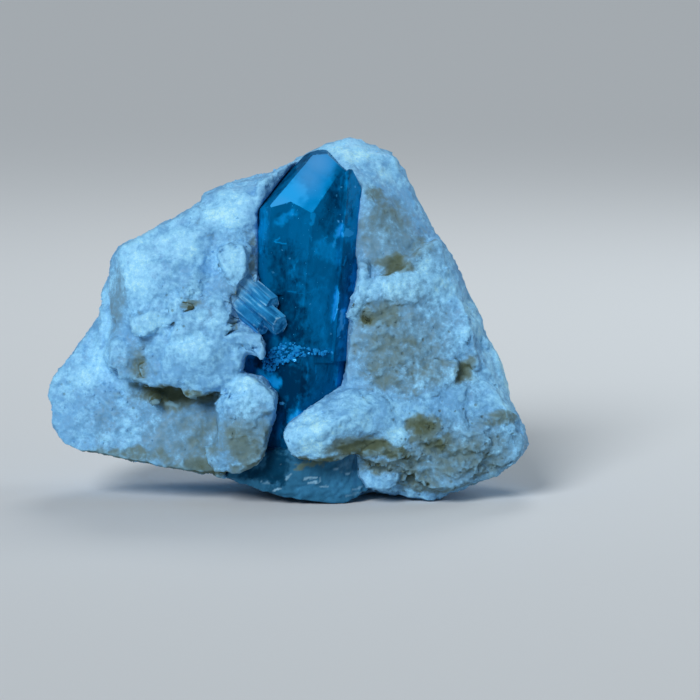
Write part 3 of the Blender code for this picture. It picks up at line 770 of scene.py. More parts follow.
        "slab hem": (-9.2, 5.0, [(-21.1, 7.9), (-14.7, 6.7), (-8.0, 6.1), (-9.4, 3.8),
            (-14.7, 5.0), (-21.1, 6.0)]),
        "edge lump low": (-9.8, 3.0, [(9.7, 31.9), (10.6, 32.8), (11.7, 32.4), (11.9, 31.0),
            (11.2, 30.2), (10.0, 30.5)]),
        "cavity fill": (-11.6, 5.0, [(15.7, 15.2), (17.7, 16.6), (20.2, 15.8), (21.1, 13.8),
            (21.7, 10.9), (19.4, 8.9), (16.6, 9.7), (15.1, 12.3)]),
        "fill chip one": (-11.9, 3.0, [(12.0, 6.9), (13.4, 7.6), (14.6, 6.8), (13.9, 5.5),
            (12.3, 5.3)]),
        "foot lump": (-10.6, 3.0, [(11.6, 4.1), (12.6, 5.1), (14.9, 5.8), (17.2, 5.5),
            (16.6, 3.5), (14.6, 2.3), (12.0, 2.5)]),
        "fan plate": (-10.2, 3.0, [(20.9, 6.4), (22.6, 7.4), (25.7, 6.4), (27.1, 5.0),
            (25.4, 3.0), (22.9, 1.8), (21.2, 3.2)]),
        "fan rib": (-10.7, 3.0, [(19.4, 4.8), (20.8, 5.9), (22.3, 5.1), (22.6, 3.0),
            (20.6, 2.2), (19.2, 3.0)]),
    },
    # The outline as the front shows it, and the y range of the body that trims the rock to it
    "outline": [
        (-34.2, 15.6), (-33.6, 18.0), (-31.0, 21.3), (-28.3, 25.5), (-26.7, 27.4),
        (-26.2, 28.9), (-26.3, 30.6), (-25.5, 31.6), (-25.2, 32.8), (-25.2, 35.1),
        (-24.4, 36.3), (-23.4, 37.2), (-22.4, 37.6), (-20.2, 38.9), (-18.3, 39.9),
        (-15.8, 41.2), (-14.3, 42.2), (-12.6, 43.0), (-11.9, 44.4), (-11.2, 44.7),
        (-9.4, 45.4), (-7.8, 46.3), (-5.0, 46.7), (-2.2, 47.5), (0.7, 48.9), (4.3, 50.8),
        (5.5, 51.6), (8.5, 52.2), (10.4, 52.0), (13.1, 51.1), (15.0, 50.2), (16.0, 48.4),
        (17.0, 46.7), (18.0, 44.7), (19.3, 42.3), (20.6, 40.2), (21.6, 37.9), (23.3, 36.2),
        (24.4, 34.2), (25.3, 31.4), (26.6, 28.6), (27.9, 26.4), (27.7, 25.1), (29.3, 22.9),
        (30.6, 20.5), (31.2, 18.3), (31.8, 15.1), (33.1, 12.4), (34.0, 9.9), (34.7, 8.0),
        (34.3, 7.6), (31.9, 5.3), (27.6, 3.2), (24.3, 1.5), (21.6, 0.9), (17.6, 0.9),
        (15.4, 1.5), (11.7, 1.8), (10.4, 1.2), (8.8, 0.6), (7.5, -0.1), (4.2, 0.3), (2.2, 0.5),
        (-0.2, 0.8), (-1.5, 1.1), (-2.5, 1.6), (-4.5, 2.8), (-6.1, 3.0), (-7.8, 3.2),
        (-9.4, 3.7), (-10.8, 4.4), (-14.6, 5.0), (-17.9, 5.3), (-22.2, 6.4), (-25.8, 7.2),
        (-29.9, 7.8), (-31.8, 8.6), (-32.6, 9.5), (-33.8, 12.8)
    ],
    "mouldSpan": (-25.0, 20.0),
    "plateChamfer": 0.35,
    "plateLeast": 0.4,
    "plateLean": 0.18,
    # Pits deeper than this are filled: smoothing passes, depths between which it sets in
    "pitPasses": 16,
    "pitDepth": (0.15, 0.55),
    # The displacement dies out at the crystal and at the floor: between these distances
    "crystalEdge": (0.05, 0.9),
    "floorEdge": (0.15, 0.8),
    # Hollows: centre, half sizes, turn about Y in degrees
    "hollows": {
        "recess": ((-19.3, -9.6, 16.2), (4.7, 2.6, 1.1), 2),
        "recess deep": ((-16.2, -9.0, 15.2), (1.9, 2.6, 1.2), -5),
        "recess right": ((-11.8, -9.4, 15.0), (2.3, 2.0, 0.7), 0),
        "triangle": ((-21.0, -10.6, 20.2), (1.2, 1.3, 2.0), -25),
        "step cavity": ((-13.6, -11.8, 29.3), (1.3, 0.9, 0.6), -25),
        "dimple": ((-21.4, -11.5, 29.3), (2.0, 1.2, 1.7), -20),
        "slot": ((15.3, -9.2, 34.5), (3.0, 2.0, 0.9), -24),
        "grain hollow": ((11.6, -9.6, 27.2), (0.9, 1.4, 1.3), 25),
        "under pale bead": ((18.3, -10.2, 3.4), (1.6, 1.2, 0.4), 5),
    },
    "crackDepth": 0.5,
    "crackWander": (1.2, 0.3),
    # Cracks and gaps: depth, half width, path (x, z) as the front shows it
    "cracks": [
        (0.35, 0.17, [(-19.5, 23.3), (-18.4, 24.1), (-17.3, 24.4)]),
        (0.25, 0.14, [(20.2, 40.2), (20.4, 38.3)]),
        (0.25, 0.14, [(20.6, 38.8), (19.7, 37.0), (18.2, 36.4)]),
        (0.4, 0.14, [(-24.8, 31.1), (-24.6, 26.9), (-25.2, 22.8)]),
        (0.25, 0.17, [(-22.4, 34.6), (-22.6, 29.4), (-22.2, 24.0)]),
        (0.4, 0.14, [(-11.6, 23.4), (-8.2, 22.6), (-7.3, 20.7), (-8.9, 18.4), (-11.6, 17.1)]),
        (0.35, 0.14, [(-9.3, 23.7), (-6.3, 23.0), (-5.8, 21.3)]),
        (0.45, 0.29, [(-11.5, 34.6), (-10.8, 37.0), (-10.0, 39.1), (-9.0, 40.5)]),
        (0.4, 0.17, [(-7.1, 37.6), (-8.7, 36.3), (-9.9, 34.1), (-10.1, 31.6)]),
        (0.4, 0.17, [(-10.0, 30.4), (-7.8, 29.7), (-5.7, 30.7)]),
        (0.6, 0.23, [(11.3, 29.6), (10.6, 27.9), (11.0, 25.9)]),
        (0.4, 0.2, [(-26.6, 17.8), (-24.9, 16.4), (-22.9, 15.4)]),
        (0.5, 0.2, [(-8.5, 13.8), (-7.4, 11.4), (-7.8, 9.3)]),
        (0.5, 0.2, [(14.2, 5.1), (16.3, 4.6), (19.2, 4.9)]),
        (0.35, 0.14, [(13.2, 29.4), (14.6, 28.9), (16.0, 29.4)]),
        (0.4, 0.23, [(13.3, 28.7), (13.7, 26.9), (13.2, 25.1)]),
        (0.35, 0.2, [(-20.9, 29.0), (-21.9, 27.3), (-21.4, 25.6)]),
        (0.5, 0.2, [(-26.5, 23.6), (-25.4, 20.0), (-24.3, 18.1)]),
        (0.35, 0.17, [(22.6, 35.7), (23.5, 31.6), (24.2, 27.7)]),
    ],
    # Facets: cell size, flatness, step height, tilt
    "facets": [(4.0, 0.55, 0.18, 0.12), (1.5, 0.7, 0.10, 0.18), (0.75, 0.6, 0.05, 0.22)],
    "facetRelax": 0.2,
    # Grain: size, height, octaves
    "grain": [(1.3, 0.10, 3), (0.5, 0.06, 2)],
    "stretch": (0.8, 1.0, 1.25),
    # How rough a part of the front is: centre, radii, roughness from 0 to 1
    "roughParts": [
        ((-18.0, -9.0, 33.0), (7.5, 6.0, 8.0), 0.12),
        ((-8.0, -8.0, 42.5), (4.5, 6.0, 3.4), 0.2),
        ((14.0, -4.0, 42.0), (6.0, 7.0, 7.0), 0.18),
        ((-12.5, -12.5, 21.5), (5.5, 4.0, 4.0), 0.2),
        ((-26.0, -8.0, 14.0), (8.0, 5.0, 6.0), 0.6),
        ((-14.0, -9.0, 9.5), (8.0, 4.0, 4.5), 0.3),
        ((-7.5, -9.5, 34.3), (2.2, 2.0, 2.8), 0.1),
        ((16.0, -9.0, 22.0), (9.0, 5.0, 8.0), 0.7),
        ((22.0, -8.5, 8.0), (11.0, 5.0, 7.0), 1.35),
        ((-14.0, -11.5, 28.0), (5.0, 4.0, 6.0), 0.65),
        ((6.0, -14.5, 12.0), (8.0, 4.0, 4.5), 0.4),
        ((30.0, -4.0, 16.0), (2.5, 6.0, 9.0), 0.2),
    ],
    # What goes into the stain attribute: occlusion (from, to, amount), partly dirt in hollows and
    # partly painted shade; cracks; and painted shade on faces that look down
    "hollowStainAndShade": (0.2, 0.62, 0.6),
    "crackStain": 0.28,
    "belowShade": (0.15, 0.8, 0.3),
    "mostStain": 1.2,
    # Stains: centre, radii, strength
    "stains": [
        ((-5.0, -7.5, 36.2), (1.2, 3.0, 4.2), 0.55),
        ((-4.0, -7.5, 41.5), (0.9, 3.0, 3.0), 0.3),
        ((9.0, 14.0, 18.0), (7.0, 6.0, 3.0), 0.5),
        ((-9.0, 14.0, 13.0), (6.0, 6.0, 3.0), 0.55),
        ((8.0, 12.0, 40.0), (5.0, 6.0, 4.0), 0.45),
        ((24.0, 12.0, 11.0), (5.0, 6.0, 3.0), 0.5),
        ((-12.5, -6.0, 41.7), (1.6, 3.0, 2.0), 0.35),
        ((-11.0, -7.5, 37.1), (1.2, 3.0, 2.8), 0.3),
        ((-6.6, -8.0, 38.3), (3.2, 3.0, 1.1), 0.42),
        ((-13.7, -11.5, 29.3), (1.3, 2.0, 0.8), 0.6),
        ((-21.6, -10.5, 27.6), (2.4, 3.0, 1.6), 0.3),
        ((-21.0, -10.0, 20.0), (1.5, 3.0, 2.2), 0.55),
        ((-16.0, -9.0, 15.6), (6.2, 4.5, 1.7), 1.15),
        ((-20.5, -9.0, 15.6), (5.0, 4.0, 1.5), 0.6),
        ((-6.9, -10.0, 20.3), (1.1, 3.0, 3.2), 0.4),
        ((-5.2, -10.5, 27.5), (1.6, 3.0, 3.5), 0.45),
        ((-24.1, -8.0, 6.9), (9.0, 4.0, 1.2), 0.65),
        ((-11.9, -9.0, 5.0), (5.5, 4.0, 1.5), 0.8),
        ((-11.0, -9.5, 9.0), (4.6, 4.0, 4.4), 0.35),
        ((-5.7, -13.0, 8.6), (3.2, 4.0, 4.0), 0.62),
        ((-7.0, -13.0, 10.8), (1.5, 3.0, 2.4), 0.55),
        ((12.5, -6.5, 44.6), (2.2, 3.0, 1.6), 0.65),
        ((13.5, -6.0, 40.5), (4.5, 4.0, 3.0), 0.42),
        ((19.2, -6.0, 37.4), (1.5, 3.0, 1.6), 0.55),
        ((15.3, -8.0, 34.3), (3.1, 4.0, 1.2), 1.0),
        ((11.5, -9.0, 26.9), (1.4, 3.0, 1.5), 0.85),
        ((14.5, -9.0, 27.0), (2.2, 3.0, 2.2), 0.6),
        ((16.0, -9.0, 20.5), (7.0, 5.0, 6.5), 0.42),
        ((25.0, -7.5, 19.0), (2.2, 3.0, 1.8), 0.9),
        ((10.5, -12.5, 9.0), (4.6, 4.0, 1.5), 1.1),
        ((15.6, -12.0, 8.0), (2.6, 3.0, 1.2), 0.9),
        ((19.0, -11.5, 11.6), (2.6, 4.0, 1.9), 1.1),
        ((21.1, -10.5, 8.8), (1.7, 4.0, 1.7), 1.0),
        ((21.0, -9.0, 7.0), (9.0, 4.0, 5.0), 0.45),
        ((30.4, -8.0, 12.4), (3.2, 4.0, 0.9), 0.7),
        ((31.0, -8.0, 8.5), (2.6, 4.0, 3.0), 0.3),
        ((4.1, -13.5, 6.9), (4.0, 4.0, 1.0), 0.95),
        ((12.5, -10.0, 6.0), (3.4, 3.0, 1.6), 0.6),
        ((23.5, -9.0, 5.5), (4.0, 3.0, 2.2), 0.35),
        ((18.5, -9.5, 2.5), (2.5, 3.0, 1.5), 0.6),
    ],
    # Fresh white places, and one painted highlight on the side strip that faces away from the
    # light: centre, radii, strength
    "fresh": [
        ((-20.5, -9.0, 33.8), (3.6, 4.0, 4.8), 0.9),
        ((-15.5, -8.5, 37.0), (3.4, 4.0, 3.0), 0.6),
        ((-9.0, -8.5, 42.4), (3.6, 4.0, 2.8), 1.0),
        ((-26.2, -3.0, 26.0), (1.0, 4.0, 5.0), 0.7),
        ((-7.9, -9.5, 34.5), (1.8, 3.0, 2.6), 0.8),
        ((9.5, 0.0, 50.0), (4.5, 4.0, 2.0), 1.0),
        ((14.0, -1.0, 47.5), (2.0, 4.0, 1.4), 0.8),
        ((16.5, -10.0, 31.2), (4.2, 4.0, 2.1), 1.15),
        ((21.0, -7.0, 32.5), (3.2, 4.0, 3.6), 1.0),
        ((4.0, -14.5, 11.2), (4.2, 3.0, 3.6), 1.0),
        ((8.5, -13.5, 14.5), (3.0, 3.0, 2.4), 0.45),
        ((-5.0, -13.5, 16.3), (3.0, 3.0, 2.6), 0.8),
        ((-12.3, -11.5, 31.8), (1.6, 2.0, 1.8), 0.8),
        ((-13.5, -12.5, 22.3), (4.6, 3.0, 2.8), 0.6),
        ((-19.5, -11.5, 26.2), (1.8, 3.0, 1.6), 0.55),
        ((-10.2, -11.5, 27.0), (2.2, 3.0, 2.2), 0.6),
        ((-28.5, -5.0, 19.5), (2.6, 3.0, 4.2), 0.7),
        ((-26.5, -7.0, 9.0), (1.2, 3.0, 1.4), 0.6),
        ((22.5, -8.5, 18.6), (4.0, 3.0, 1.3), 0.8),
        ((25.6, -5.0, 26.0), (1.8, 4.0, 4.0), 0.55),
        ((15.3, -12.0, 10.0), (1.9, 3.0, 1.5), 0.7),
        ((26.4, -11.0, 8.9), (2.0, 3.0, 0.7), 0.7),
        ((16.6, -10.5, 6.6), (2.4, 3.0, 1.4), 0.55),
        ((10.2, -10.0, 29.5), (2.0, 3.0, 3.4), 0.7),
        ((29.5, -9.5, 8.5), (1.6, 3.0, 2.2), 0.45),
        # Painted light: brightens the side strip that turns away from the lamps.
        ((31.0, -3.0, 17.0), (2.4, 6.0, 8.0), 1.0),
        ((-2.0, 13.0, 30.0), (9.0, 7.0, 7.0), 0.95),
        ((18.0, 12.0, 24.0), (7.0, 7.0, 9.0), 0.85),
        ((-17.0, 12.0, 20.0), (7.0, 7.0, 6.0), 0.9),
        ((4.0, 14.0, 9.0), (8.0, 6.0, 4.0), 0.7),
    ],
    # Duller grey places: centre, radii, strength
    "grey": [
        ((14.5, -6.0, 38.0), (6.5, 5.0, 6.0), 0.85),
        ((16.0, -9.0, 23.5), (9.0, 6.0, 7.5), 0.8),
        ((24.0, -9.0, 7.0), (12.5, 6.0, 6.0), 0.8),
        ((26.0, -7.0, 18.5), (2.6, 6.0, 4.5), 0.5),
        ((-13.5, -9.0, 9.5), (9.5, 6.0, 5.2), 0.75),
        ((-24.0, -8.5, 12.0), (7.0, 5.0, 4.4), 0.45),
        ((-6.0, -13.0, 10.0), (4.4, 5.0, 4.8), 0.85),
        ((-21.5, -9.0, 20.5), (3.4, 5.0, 3.6), 0.6),
        ((-14.5, -11.5, 28.0), (6.4, 4.0, 4.4), 0.3),
        ((-24.5, -8.0, 29.5), (1.6, 5.0, 5.0), 0.75),
        ((-6.4, -9.0, 31.0), (3.6, 4.0, 7.0), 0.45),
        ((10.0, -12.5, 9.8), (5.0, 4.0, 3.6), 0.5),
    ],
    # Occlusion: rays to a point, their reach and start, lowest height and range, turn
    "rays": 12,
    "reach": 4.5,
    "rayStart": 0.12,
    "rayHeights": (0.25, 0.7),
    "rayTurn": 2.39996,
    "ridgePasses": 8,
    "ridgeGain": 2.5,
}


def rockHulls():
    bm = bmesh.new()
    mx, mz = rockForm["coreMiddle"]
    addHull(bm, [(mx + (x - mx) * size, y, mz + (z - mz) * size)
                 for y, size in rockForm["coreSections"] for x, z in rockForm["coreOutline"]])
    addHull(bm, rockForm["plinth"])
    for back, corners in rockForm["blocks"].values():
        addHull(bm, corners + [(x, back, z) for x, _, z in corners])
    for front, thickness, outline in rockForm["plates"].values():
        addPlate(bm, front, thickness, outline)
    return makeObject("feldspar", bm)


def addPlate(bm, front, thickness, outline):
    # A plate with a chamfered front that leans back a little towards its top.
    cx, cz = np.mean(outline, axis=0)
    chamfer = rockForm["plateChamfer"]
    corners = []
    for x, z in outline:
        lean = (z - cz) * rockForm["plateLean"]
        away = math.hypot(x - cx, z - cz)
        size = max(1.0 - chamfer / away, rockForm["plateLeast"])
        corners += [(cx + (x - cx) * size, front + lean, cz + (z - cz) * size),
                    (x, front + lean + chamfer, z), (x, front + thickness, z)]
    addHull(bm, corners)


def rockHollows():
    bm = bmesh.new()
    for centre, halfSizes, turn in rockForm["hollows"].values():
        place = Matrix.Translation(centre) @ Matrix.Rotation(math.radians(turn), 4, "Y")
        bmesh.ops.create_icosphere(
            bm, subdivisions=3, radius=1.0, matrix=place @ Matrix.Diagonal((*halfSizes, 1.0)))
    hollows = makeObject("hollows", bm)
    fuse(hollows, rockForm["hollowCell"])
    return hollows


def outlineMould():
    # Everything that the front sees inside the rock's outline: a body that widens away from
    # the viewer.
    tilt = math.radians(studio["elevation"])
    reach = studio["distance"] / mm
    eye = Vector(studio["aim"]) / mm + Vector((0.0, -math.cos(tilt), math.sin(tilt))) * reach
    bm = bmesh.new()
    rings = []
    front = frontView["y"]
    for y in rockForm["mouldSpan"]:
        grow = (y - eye.y) / (front - eye.y)
        rings.append([bm.verts.new(eye + (Vector((x, front, z)) - eye) * grow)
                      for x, z in rockForm["outline"]])
    for ring in rings:
        bm.faces.new(ring)
    for k in range(len(rings[0])):
        bm.faces.new((rings[0][k - 1], rings[0][k], rings[1][k], rings[1][k - 1]))
    bmesh.ops.recalc_face_normals(bm, faces=bm.faces[:])
    return makeObject("outline", bm)


def cellIndex(points, size, shift):
    # The number of the cell that each point is in.
    stretched = points * np.array(rockForm["stretch"]) / size + shift
    keys = {}
    index = np.empty(len(points), dtype=np.int64)
    for number, point in enumerate(stretched):
        centre = noise.voronoi(Vector(point))[1][0]
        key = (round(centre.x, 3), round(centre.y, 3), round(centre.z, 3))
        index[number] = keys.setdefault(key, len(keys))
    return index


def breakIntoFacets(points, normals, size, flatness, step, tilt, shift):
    # Moves each point towards the plane of its own cell, so that the surface breaks into
    # small flat cleavage faces with steps between them.
    side = np.argmax(np.abs(normals), axis=1) * 2 + (normals.max(axis=1) > -normals.min(axis=1))
    index = cellIndex(points, size, shift) * 6 + side
    _, index = np.unique(index, return_inverse=True)
    count = index.max() + 1
    share = np.bincount(index, minlength=count)[:, None]
    centres = np.zeros((count, 3))
    facing = np.zeros((count, 3))
    np.add.at(centres, index, points)
    np.add.at(facing, index, normals)
    centres /= share
    random = np.random.default_rng(int(size * 100) + 7)
    facing = unit(unit(facing) + random.normal(0.0, tilt, (count, 3)))
    height = random.uniform(-step, step, count)
    facing = facing[index]
    gap = ((centres[index] - points) * facing).sum(axis=1)
    return facing, gap * flatness, height[index]


def cracksAt(points):
    # How much of a crack is at each point. A noise breaks the cracks up.
    size, stray = rockForm["crackWander"]
    wander = wanderAt(points, size)
    crack = strokes(seenFromFront(points) + wander * stray, rockForm["cracks"], wander)
    return crack * softStep(fractalAt(points, 1.0, 40.0), -0.35, 0.15)


def roughnessAt(points):
    rough = np.full(len(points), 0.5)
    for centre, radii, value in rockForm["roughParts"]:
        weight = patch(points, centre, radii)
        rough = rough * (1.0 - weight) + value * weight
    return rough


def occlusionAt(mesh, points, normals):
    # The share of each point's outlook that the rock itself blocks.
    polygons = [tuple(p.vertices) for p in mesh.polygons]
    tree = BVHTree.FromPolygons([Vector(p) for p in points], polygons)
    helper = np.where(np.abs(normals[:, :1]) < 0.8, [[1.0, 0.0, 0.0]], [[0.0, 1.0, 0.0]])
    along = unit(np.cross(normals, helper))
    across = np.cross(normals, along)
    count = rockForm["rays"]
    reach = rockForm["reach"]
    blocked = np.zeros(len(points))
    start = points + normals * rockForm["rayStart"]
    lowest, span = rockForm["rayHeights"]
    for ray in range(count):
        height = lowest + span * (ray + 0.5) / count
        turn = ray * rockForm["rayTurn"]
        flat = math.sqrt(1.0 - height * height)
        ways = (normals * height + along * (flat * math.cos(turn))
                + across * (flat * math.sin(turn)))
        for number in range(len(points)):
            hit = tree.ray_cast(Vector(start[number]), Vector(ways[number]), reach)[3]
            if hit is not None:
                blocked[number] += 1.0 - hit / reach
    return blocked / count


def fillPits(points, normals, edges, freedom):
    # Raises the deep narrow places between the blocks towards the smoothed surface.
    smooth = points
    for _ in range(rockForm["pitPasses"]):
        smooth = neighbourMean(smooth, edges)
    move = smooth - points
    depth = (move * normals).sum(axis=1)
    return points + move * (softStep(depth, *rockForm["pitDepth"]) * freedom)[:, None]


def shapeRock():
    rock = rockHulls()
    fuse(rock, rockForm["firstCell"])
    combine(rock, rockHollows(), "DIFFERENCE")
    ground = bmesh.new()
    side = rockForm["groundCube"]
    bmesh.ops.create_cube(
        ground, size=side, matrix=Matrix.Translation((0.0, 0.0, -side / 2.0)))
    combine(rock, makeObject("ground", ground), "DIFFERENCE")
    combine(rock, outlineMould(), "INTERSECT")
    combine(rock, crystalSocket(rockForm["socketGrow"]), "DIFFERENCE")
    fuse(rock, rockForm["cell"])
    keepLargestBody(rock)
    mesh = rock.data
    points = readPoints(mesh)
    edges = readEdges(mesh)
    rough = roughnessAt(points)
    freedom = (softStep(crystalDistance(points), *rockForm["crystalEdge"])
               * softStep(points[:, 2], *rockForm["floorEdge"]))
    points = fillPits(points, readNormals(mesh), edges, freedom)
    writePoints(mesh, points)
    for size, flatness, step, tilt in rockForm["facets"]:
        normals = unit(neighbourMean(readNormals(mesh), edges))
        facing, gap, height = breakIntoFacets(points, normals, size, flatness, step, tilt, 3.7)
        scale = 0.35 + rough
        move = gap * np.minimum(scale, 1.0) + height * scale
        points = points + facing * (move * freedom)[:, None]
        points += (neighbourMean(points, edges) - points) * rockForm["facetRelax"]
        writePoints(mesh, points)
    normals = readNormals(mesh)
    grain = sum(fractalAt(points, size, 11.0 + size, octaves) * height
                for size, height, octaves in rockForm["grain"])
    points = points + normals * (grain * (0.3 + rough) * freedom)[:, None]
    front = softStep(-normals[:, 1], 0.1, 0.4) * freedom
    points[:, 1] += cracksAt(points) * front * rockForm["crackDepth"]
    points[:, 2] = np.maximum(points[:, 2], 0.0)
    writePoints(mesh, points)
    thinBack(rock)
    return rock


def thinBack(obj):
    # Spends the faces on the front: the back is thinned until the piece is small enough.
    group = obj.vertex_groups.new(name="back")
    points = readPoints(obj.data)
    least = rockForm["thinLeast"]
    weights = np.round(
        least + (1.0 - least) * softStep(points[:, 1], *rockForm["thinBack"]), 2)
    for weight in np.unique(weights):
        group.add(np.flatnonzero(weights == weight).tolist(), float(weight), "REPLACE")
    thin = obj.modifiers.new("thin", "DECIMATE")
    thin.vertex_group = "back"
    thin.vertex_group_factor = rockForm["thinFactor"]
    faces = sum(len(p.vertices) - 2 for p in obj.data.polygons)
    thin.ratio = min(1.0, rockForm["mostFaces"] / faces)
    settle(obj)
    obj.vertex_groups.clear()


def paintRock(rock):
    mesh = rock.data
    points = readPoints(mesh)
    normals = readNormals(mesh)
    edges = readEdges(mesh)
    shade = neighbourMean(occlusionAt(mesh, points, normals), edges)
    smooth = points
    for _ in range(rockForm["ridgePasses"]):
        smooth = neighbourMean(smooth, edges)
    ridge = ((points - smooth) * normals).sum(axis=1)
    cloud = fractalAt(points, 2.4, 31.0, 4)
    stain = strongest(points, cloud, rockForm["stains"])
    # Partly dirt and partly painted shade: hollows that the occlusion finds take stain colours.
    low, high, amount = rockForm["hollowStainAndShade"]
    stain += softStep(shade, low, high) * amount
    stain += cracksAt(points) * softStep(-normals[:, 1], -0.3, 0.2) * rockForm["crackStain"]
    # Painted shade: faces that look down are darkened towards the stain colours.
    low, high, amount = rockForm["belowShade"]
    stain += softStep(-normals[:, 2], low, high) * amount
    paint(mesh, "shade", shade)
    # The stain attribute holds real stains and cracks together with this painted shade.
    paint(mesh, "stain", np.clip(stain, 0.0, rockForm["mostStain"]))
    paint(mesh, "fresh", strongest(points, cloud, rockForm["fresh"]))
    paint(mesh, "grey", strongest(points, cloud, rockForm["grey"]))
    paint(mesh, "ridge", np.clip(ridge * rockForm["ridgeGain"] + 0.5, 0.0, 1.0))
    rough = roughnessAt(points)
    paint(mesh, "rough", rough)
    grain = softStep(rough + (cloud + 0.1) * 0.5, 0.35, 0.9)
    back = 1.0 - 0.75 * softStep(points[:, 1], 0.0, 4.0)
    paint(mesh, "grain", grain * back * softStep(crystalDistance(points), 0.3, 0.8)
          * softStep(points[:, 2], 0.6, 1.2))


def strongest(points, cloud, parts):
    # The strongest of the parts at each point, with edges that the cloud makes ragged.
    most = np.zeros(len(points))
    for centre, radii, strength in parts:
        weight = patch(points + cloud[:, None] * 0.9, centre, radii, 0.6) * strength
        most = np.maximum(most, weight)
    return most


# The rock's colours, from the freshest white to the darkest pits; the darkest is painted shade,
# laid on its hollows by occlusion.
feldsparFinish = {
    "core": (0.46, 0.86, 1.0),
    "white": (0.290, 0.68, 1.0),
    "blue": (0.145, 0.405, 0.72),
    "grey": (0.145, 0.292, 0.400),
    "brown": (0.122, 0.196, 0.190),
    "ochre": (0.128, 0.180, 0.115),
    "olive": (0.078, 0.108, 0.066),
    "hollowShade": (0.022, 0.032, 0.026),
    "roughness": (0.45, 0.85),
    "ior": 1.53,
    "specular": 0.22,
    "bump": 0.8,
    "bumpDepth": 0.35,
    "pitSize": 1.5,
    "facetSize": 0.7,  # mm across one cleavage face
    "facetTilt": 0.5,
}


def makeFeldspar():
    look = {key: (*value, 1.0) for key, value in feldsparFinish.items()
            if isinstance(value, tuple) and len(value) == 3}
    material, g = newMaterial("feldspar")
    place = g.add("ShaderNodeTexCoord", out="Object")
    # stain carries painted shade in hollows and under overhangs as well as real stains.
    stain = g.attribute("stain")
    shade = g.attribute("shade")
    fresh = g.attribute("fresh")
    grey = g.attribute("grey")
    rough = g.attribute("rough")
    broad = g.noise(place, 5.0, 4.0, 0.55)
    patches = g.noise(place, 1.7, 5.0, 0.6, 0.6)
    fine = g.noise(place, 0.55, 4.0, 0.65)
    sugar = g.noise(place, 0.2, 2.0, 0.6)
    mixed = patches * 0.5 + broad * 0.5 + (fine - 0.5) * 0.45
    light = g.ramp(mixed + fresh * 0.17 - grey * 0.05, 0.42, 0.68)
    colour = g.blend(light, look["blue"], look["white"])
    core = g.ramp(mixed + (sugar - 0.5) * 0.35 + fresh * 0.17, 0.64, 0.82)
    colour = g.blend(core * (1.0 - grey * 0.7), colour, look["core"])
    greyShare = g.ramp(grey + (0.5 - mixed) * 2.4 + stain * 0.4, 0.20, 1.1)
    colour = g.blend(greyShare * 0.92, colour, look["grey"])
    brownShare = g.ramp(stain + (fine - 0.5) * 0.7 + (0.5 - mixed) * 2.0 + grey * 0.12,
                        0.30, 0.80)
    colour = g.blend(brownShare * 0.88, colour, look["brown"])
    ochreShare = g.ramp(stain + (broad - 0.5) * 2.2, 0.70, 1.05)
    colour = g.blend(ochreShare * 0.65, colour, look["ochre"])
    # Olive follows the stain and, as painted shade, the occlusion in the hollows.
    oliveShare = g.ramp(stain + shade * 0.45 + (0.5 - patches) * 0.8, 0.75, 1.2)
    colour = g.blend(oliveShare * 0.92, colour, look["olive"])
    # Painted shade: the colour darkens where the occlusion attribute is high, in hollows and
    # crevices.
    colour = g.blend(g.ramp(shade, 0.45, 0.9) * 0.5, colour, look["hollowShade"])
    colour = g.blend(g.ramp(g.attribute("ridge"), 0.6, 1.0) * 0.3, colour, look["white"])
    pits = g.ramp(g.add("ShaderNodeTexVoronoi", {"feature": "F1"}, {
        "Vector": place, "Scale": 1.0 / (feldsparFinish["pitSize"] * mm)}), 0.05, 0.20, 1.0, 0.0)
    pitShare = pits * g.ramp(rough + (broad - 0.5), 0.40, 0.80)
    colour = g.blend(pitShare * 0.6, colour, look["olive"])
    low, high = feldsparFinish["roughness"]
    sheen = g.ramp(fine * 0.6 + stain * 0.5, 0.2, 0.8, low, high)
    crumb = g.noise(place, 0.32, 3.0, 0.7, 0.8)
    height = (patches * 0.25 + fine * 0.35 + crumb * 0.30 - pitShare * 0.4) * (rough * 0.8 + 0.35)
    # Each small cell faces its own way, as the cleavage faces of the grains do.
    bent = g.add("ShaderNodeVectorMath", {"operation": "MULTIPLY_ADD"}, {
        0: g.also(patches, "Color"), 1: (0.8 * mm,) * 3, 2: place})
    cell = g.add("ShaderNodeTexVoronoi", {"feature": "F1"}, {
        "Vector": bent, "Scale": 1.0 / (feldsparFinish["facetSize"] * mm)}, out="Color")
    tilt = g.add("ShaderNodeVectorMath", {"operation": "SUBTRACT"}, {0: cell, 1: (0.5, 0.5, 0.5)})
    lean = g.add("ShaderNodeVectorMath", {"operation": "SCALE"}, {
        0: tilt, "Scale": (rough * 0.7 + 0.3) * feldsparFinish["facetTilt"]})
    facing = g.add("ShaderNodeNewGeometry", out="Normal")
    faced = g.add("ShaderNodeVectorMath", {"operation": "NORMALIZE"}, {
        0: g.add("ShaderNodeVectorMath", {"operation": "ADD"}, {0: facing, 1: lean})})
    bump = g.add("ShaderNodeBump", {}, {
        "Strength": feldsparFinish["bump"], "Distance": feldsparFinish["bumpDepth"] * mm,
        "Height": height, "Normal": faced})
    shaderOutput(g, g.add("ShaderNodeBsdfPrincipled", {}, {
        "Base Color": colour, "Roughness": sheen, "Normal": bump,
        "IOR": feldsparFinish["ior"], "Specular IOR Level": feldsparFinish["specular"]}))
    return material


feldspar = makeFeldspar()
rock = shapeRock()
print("rock shaped")
paintRock(rock)
print("rock painted")
finishPiece(rock, "feldspar_matrix", feldspar, smooth=True)


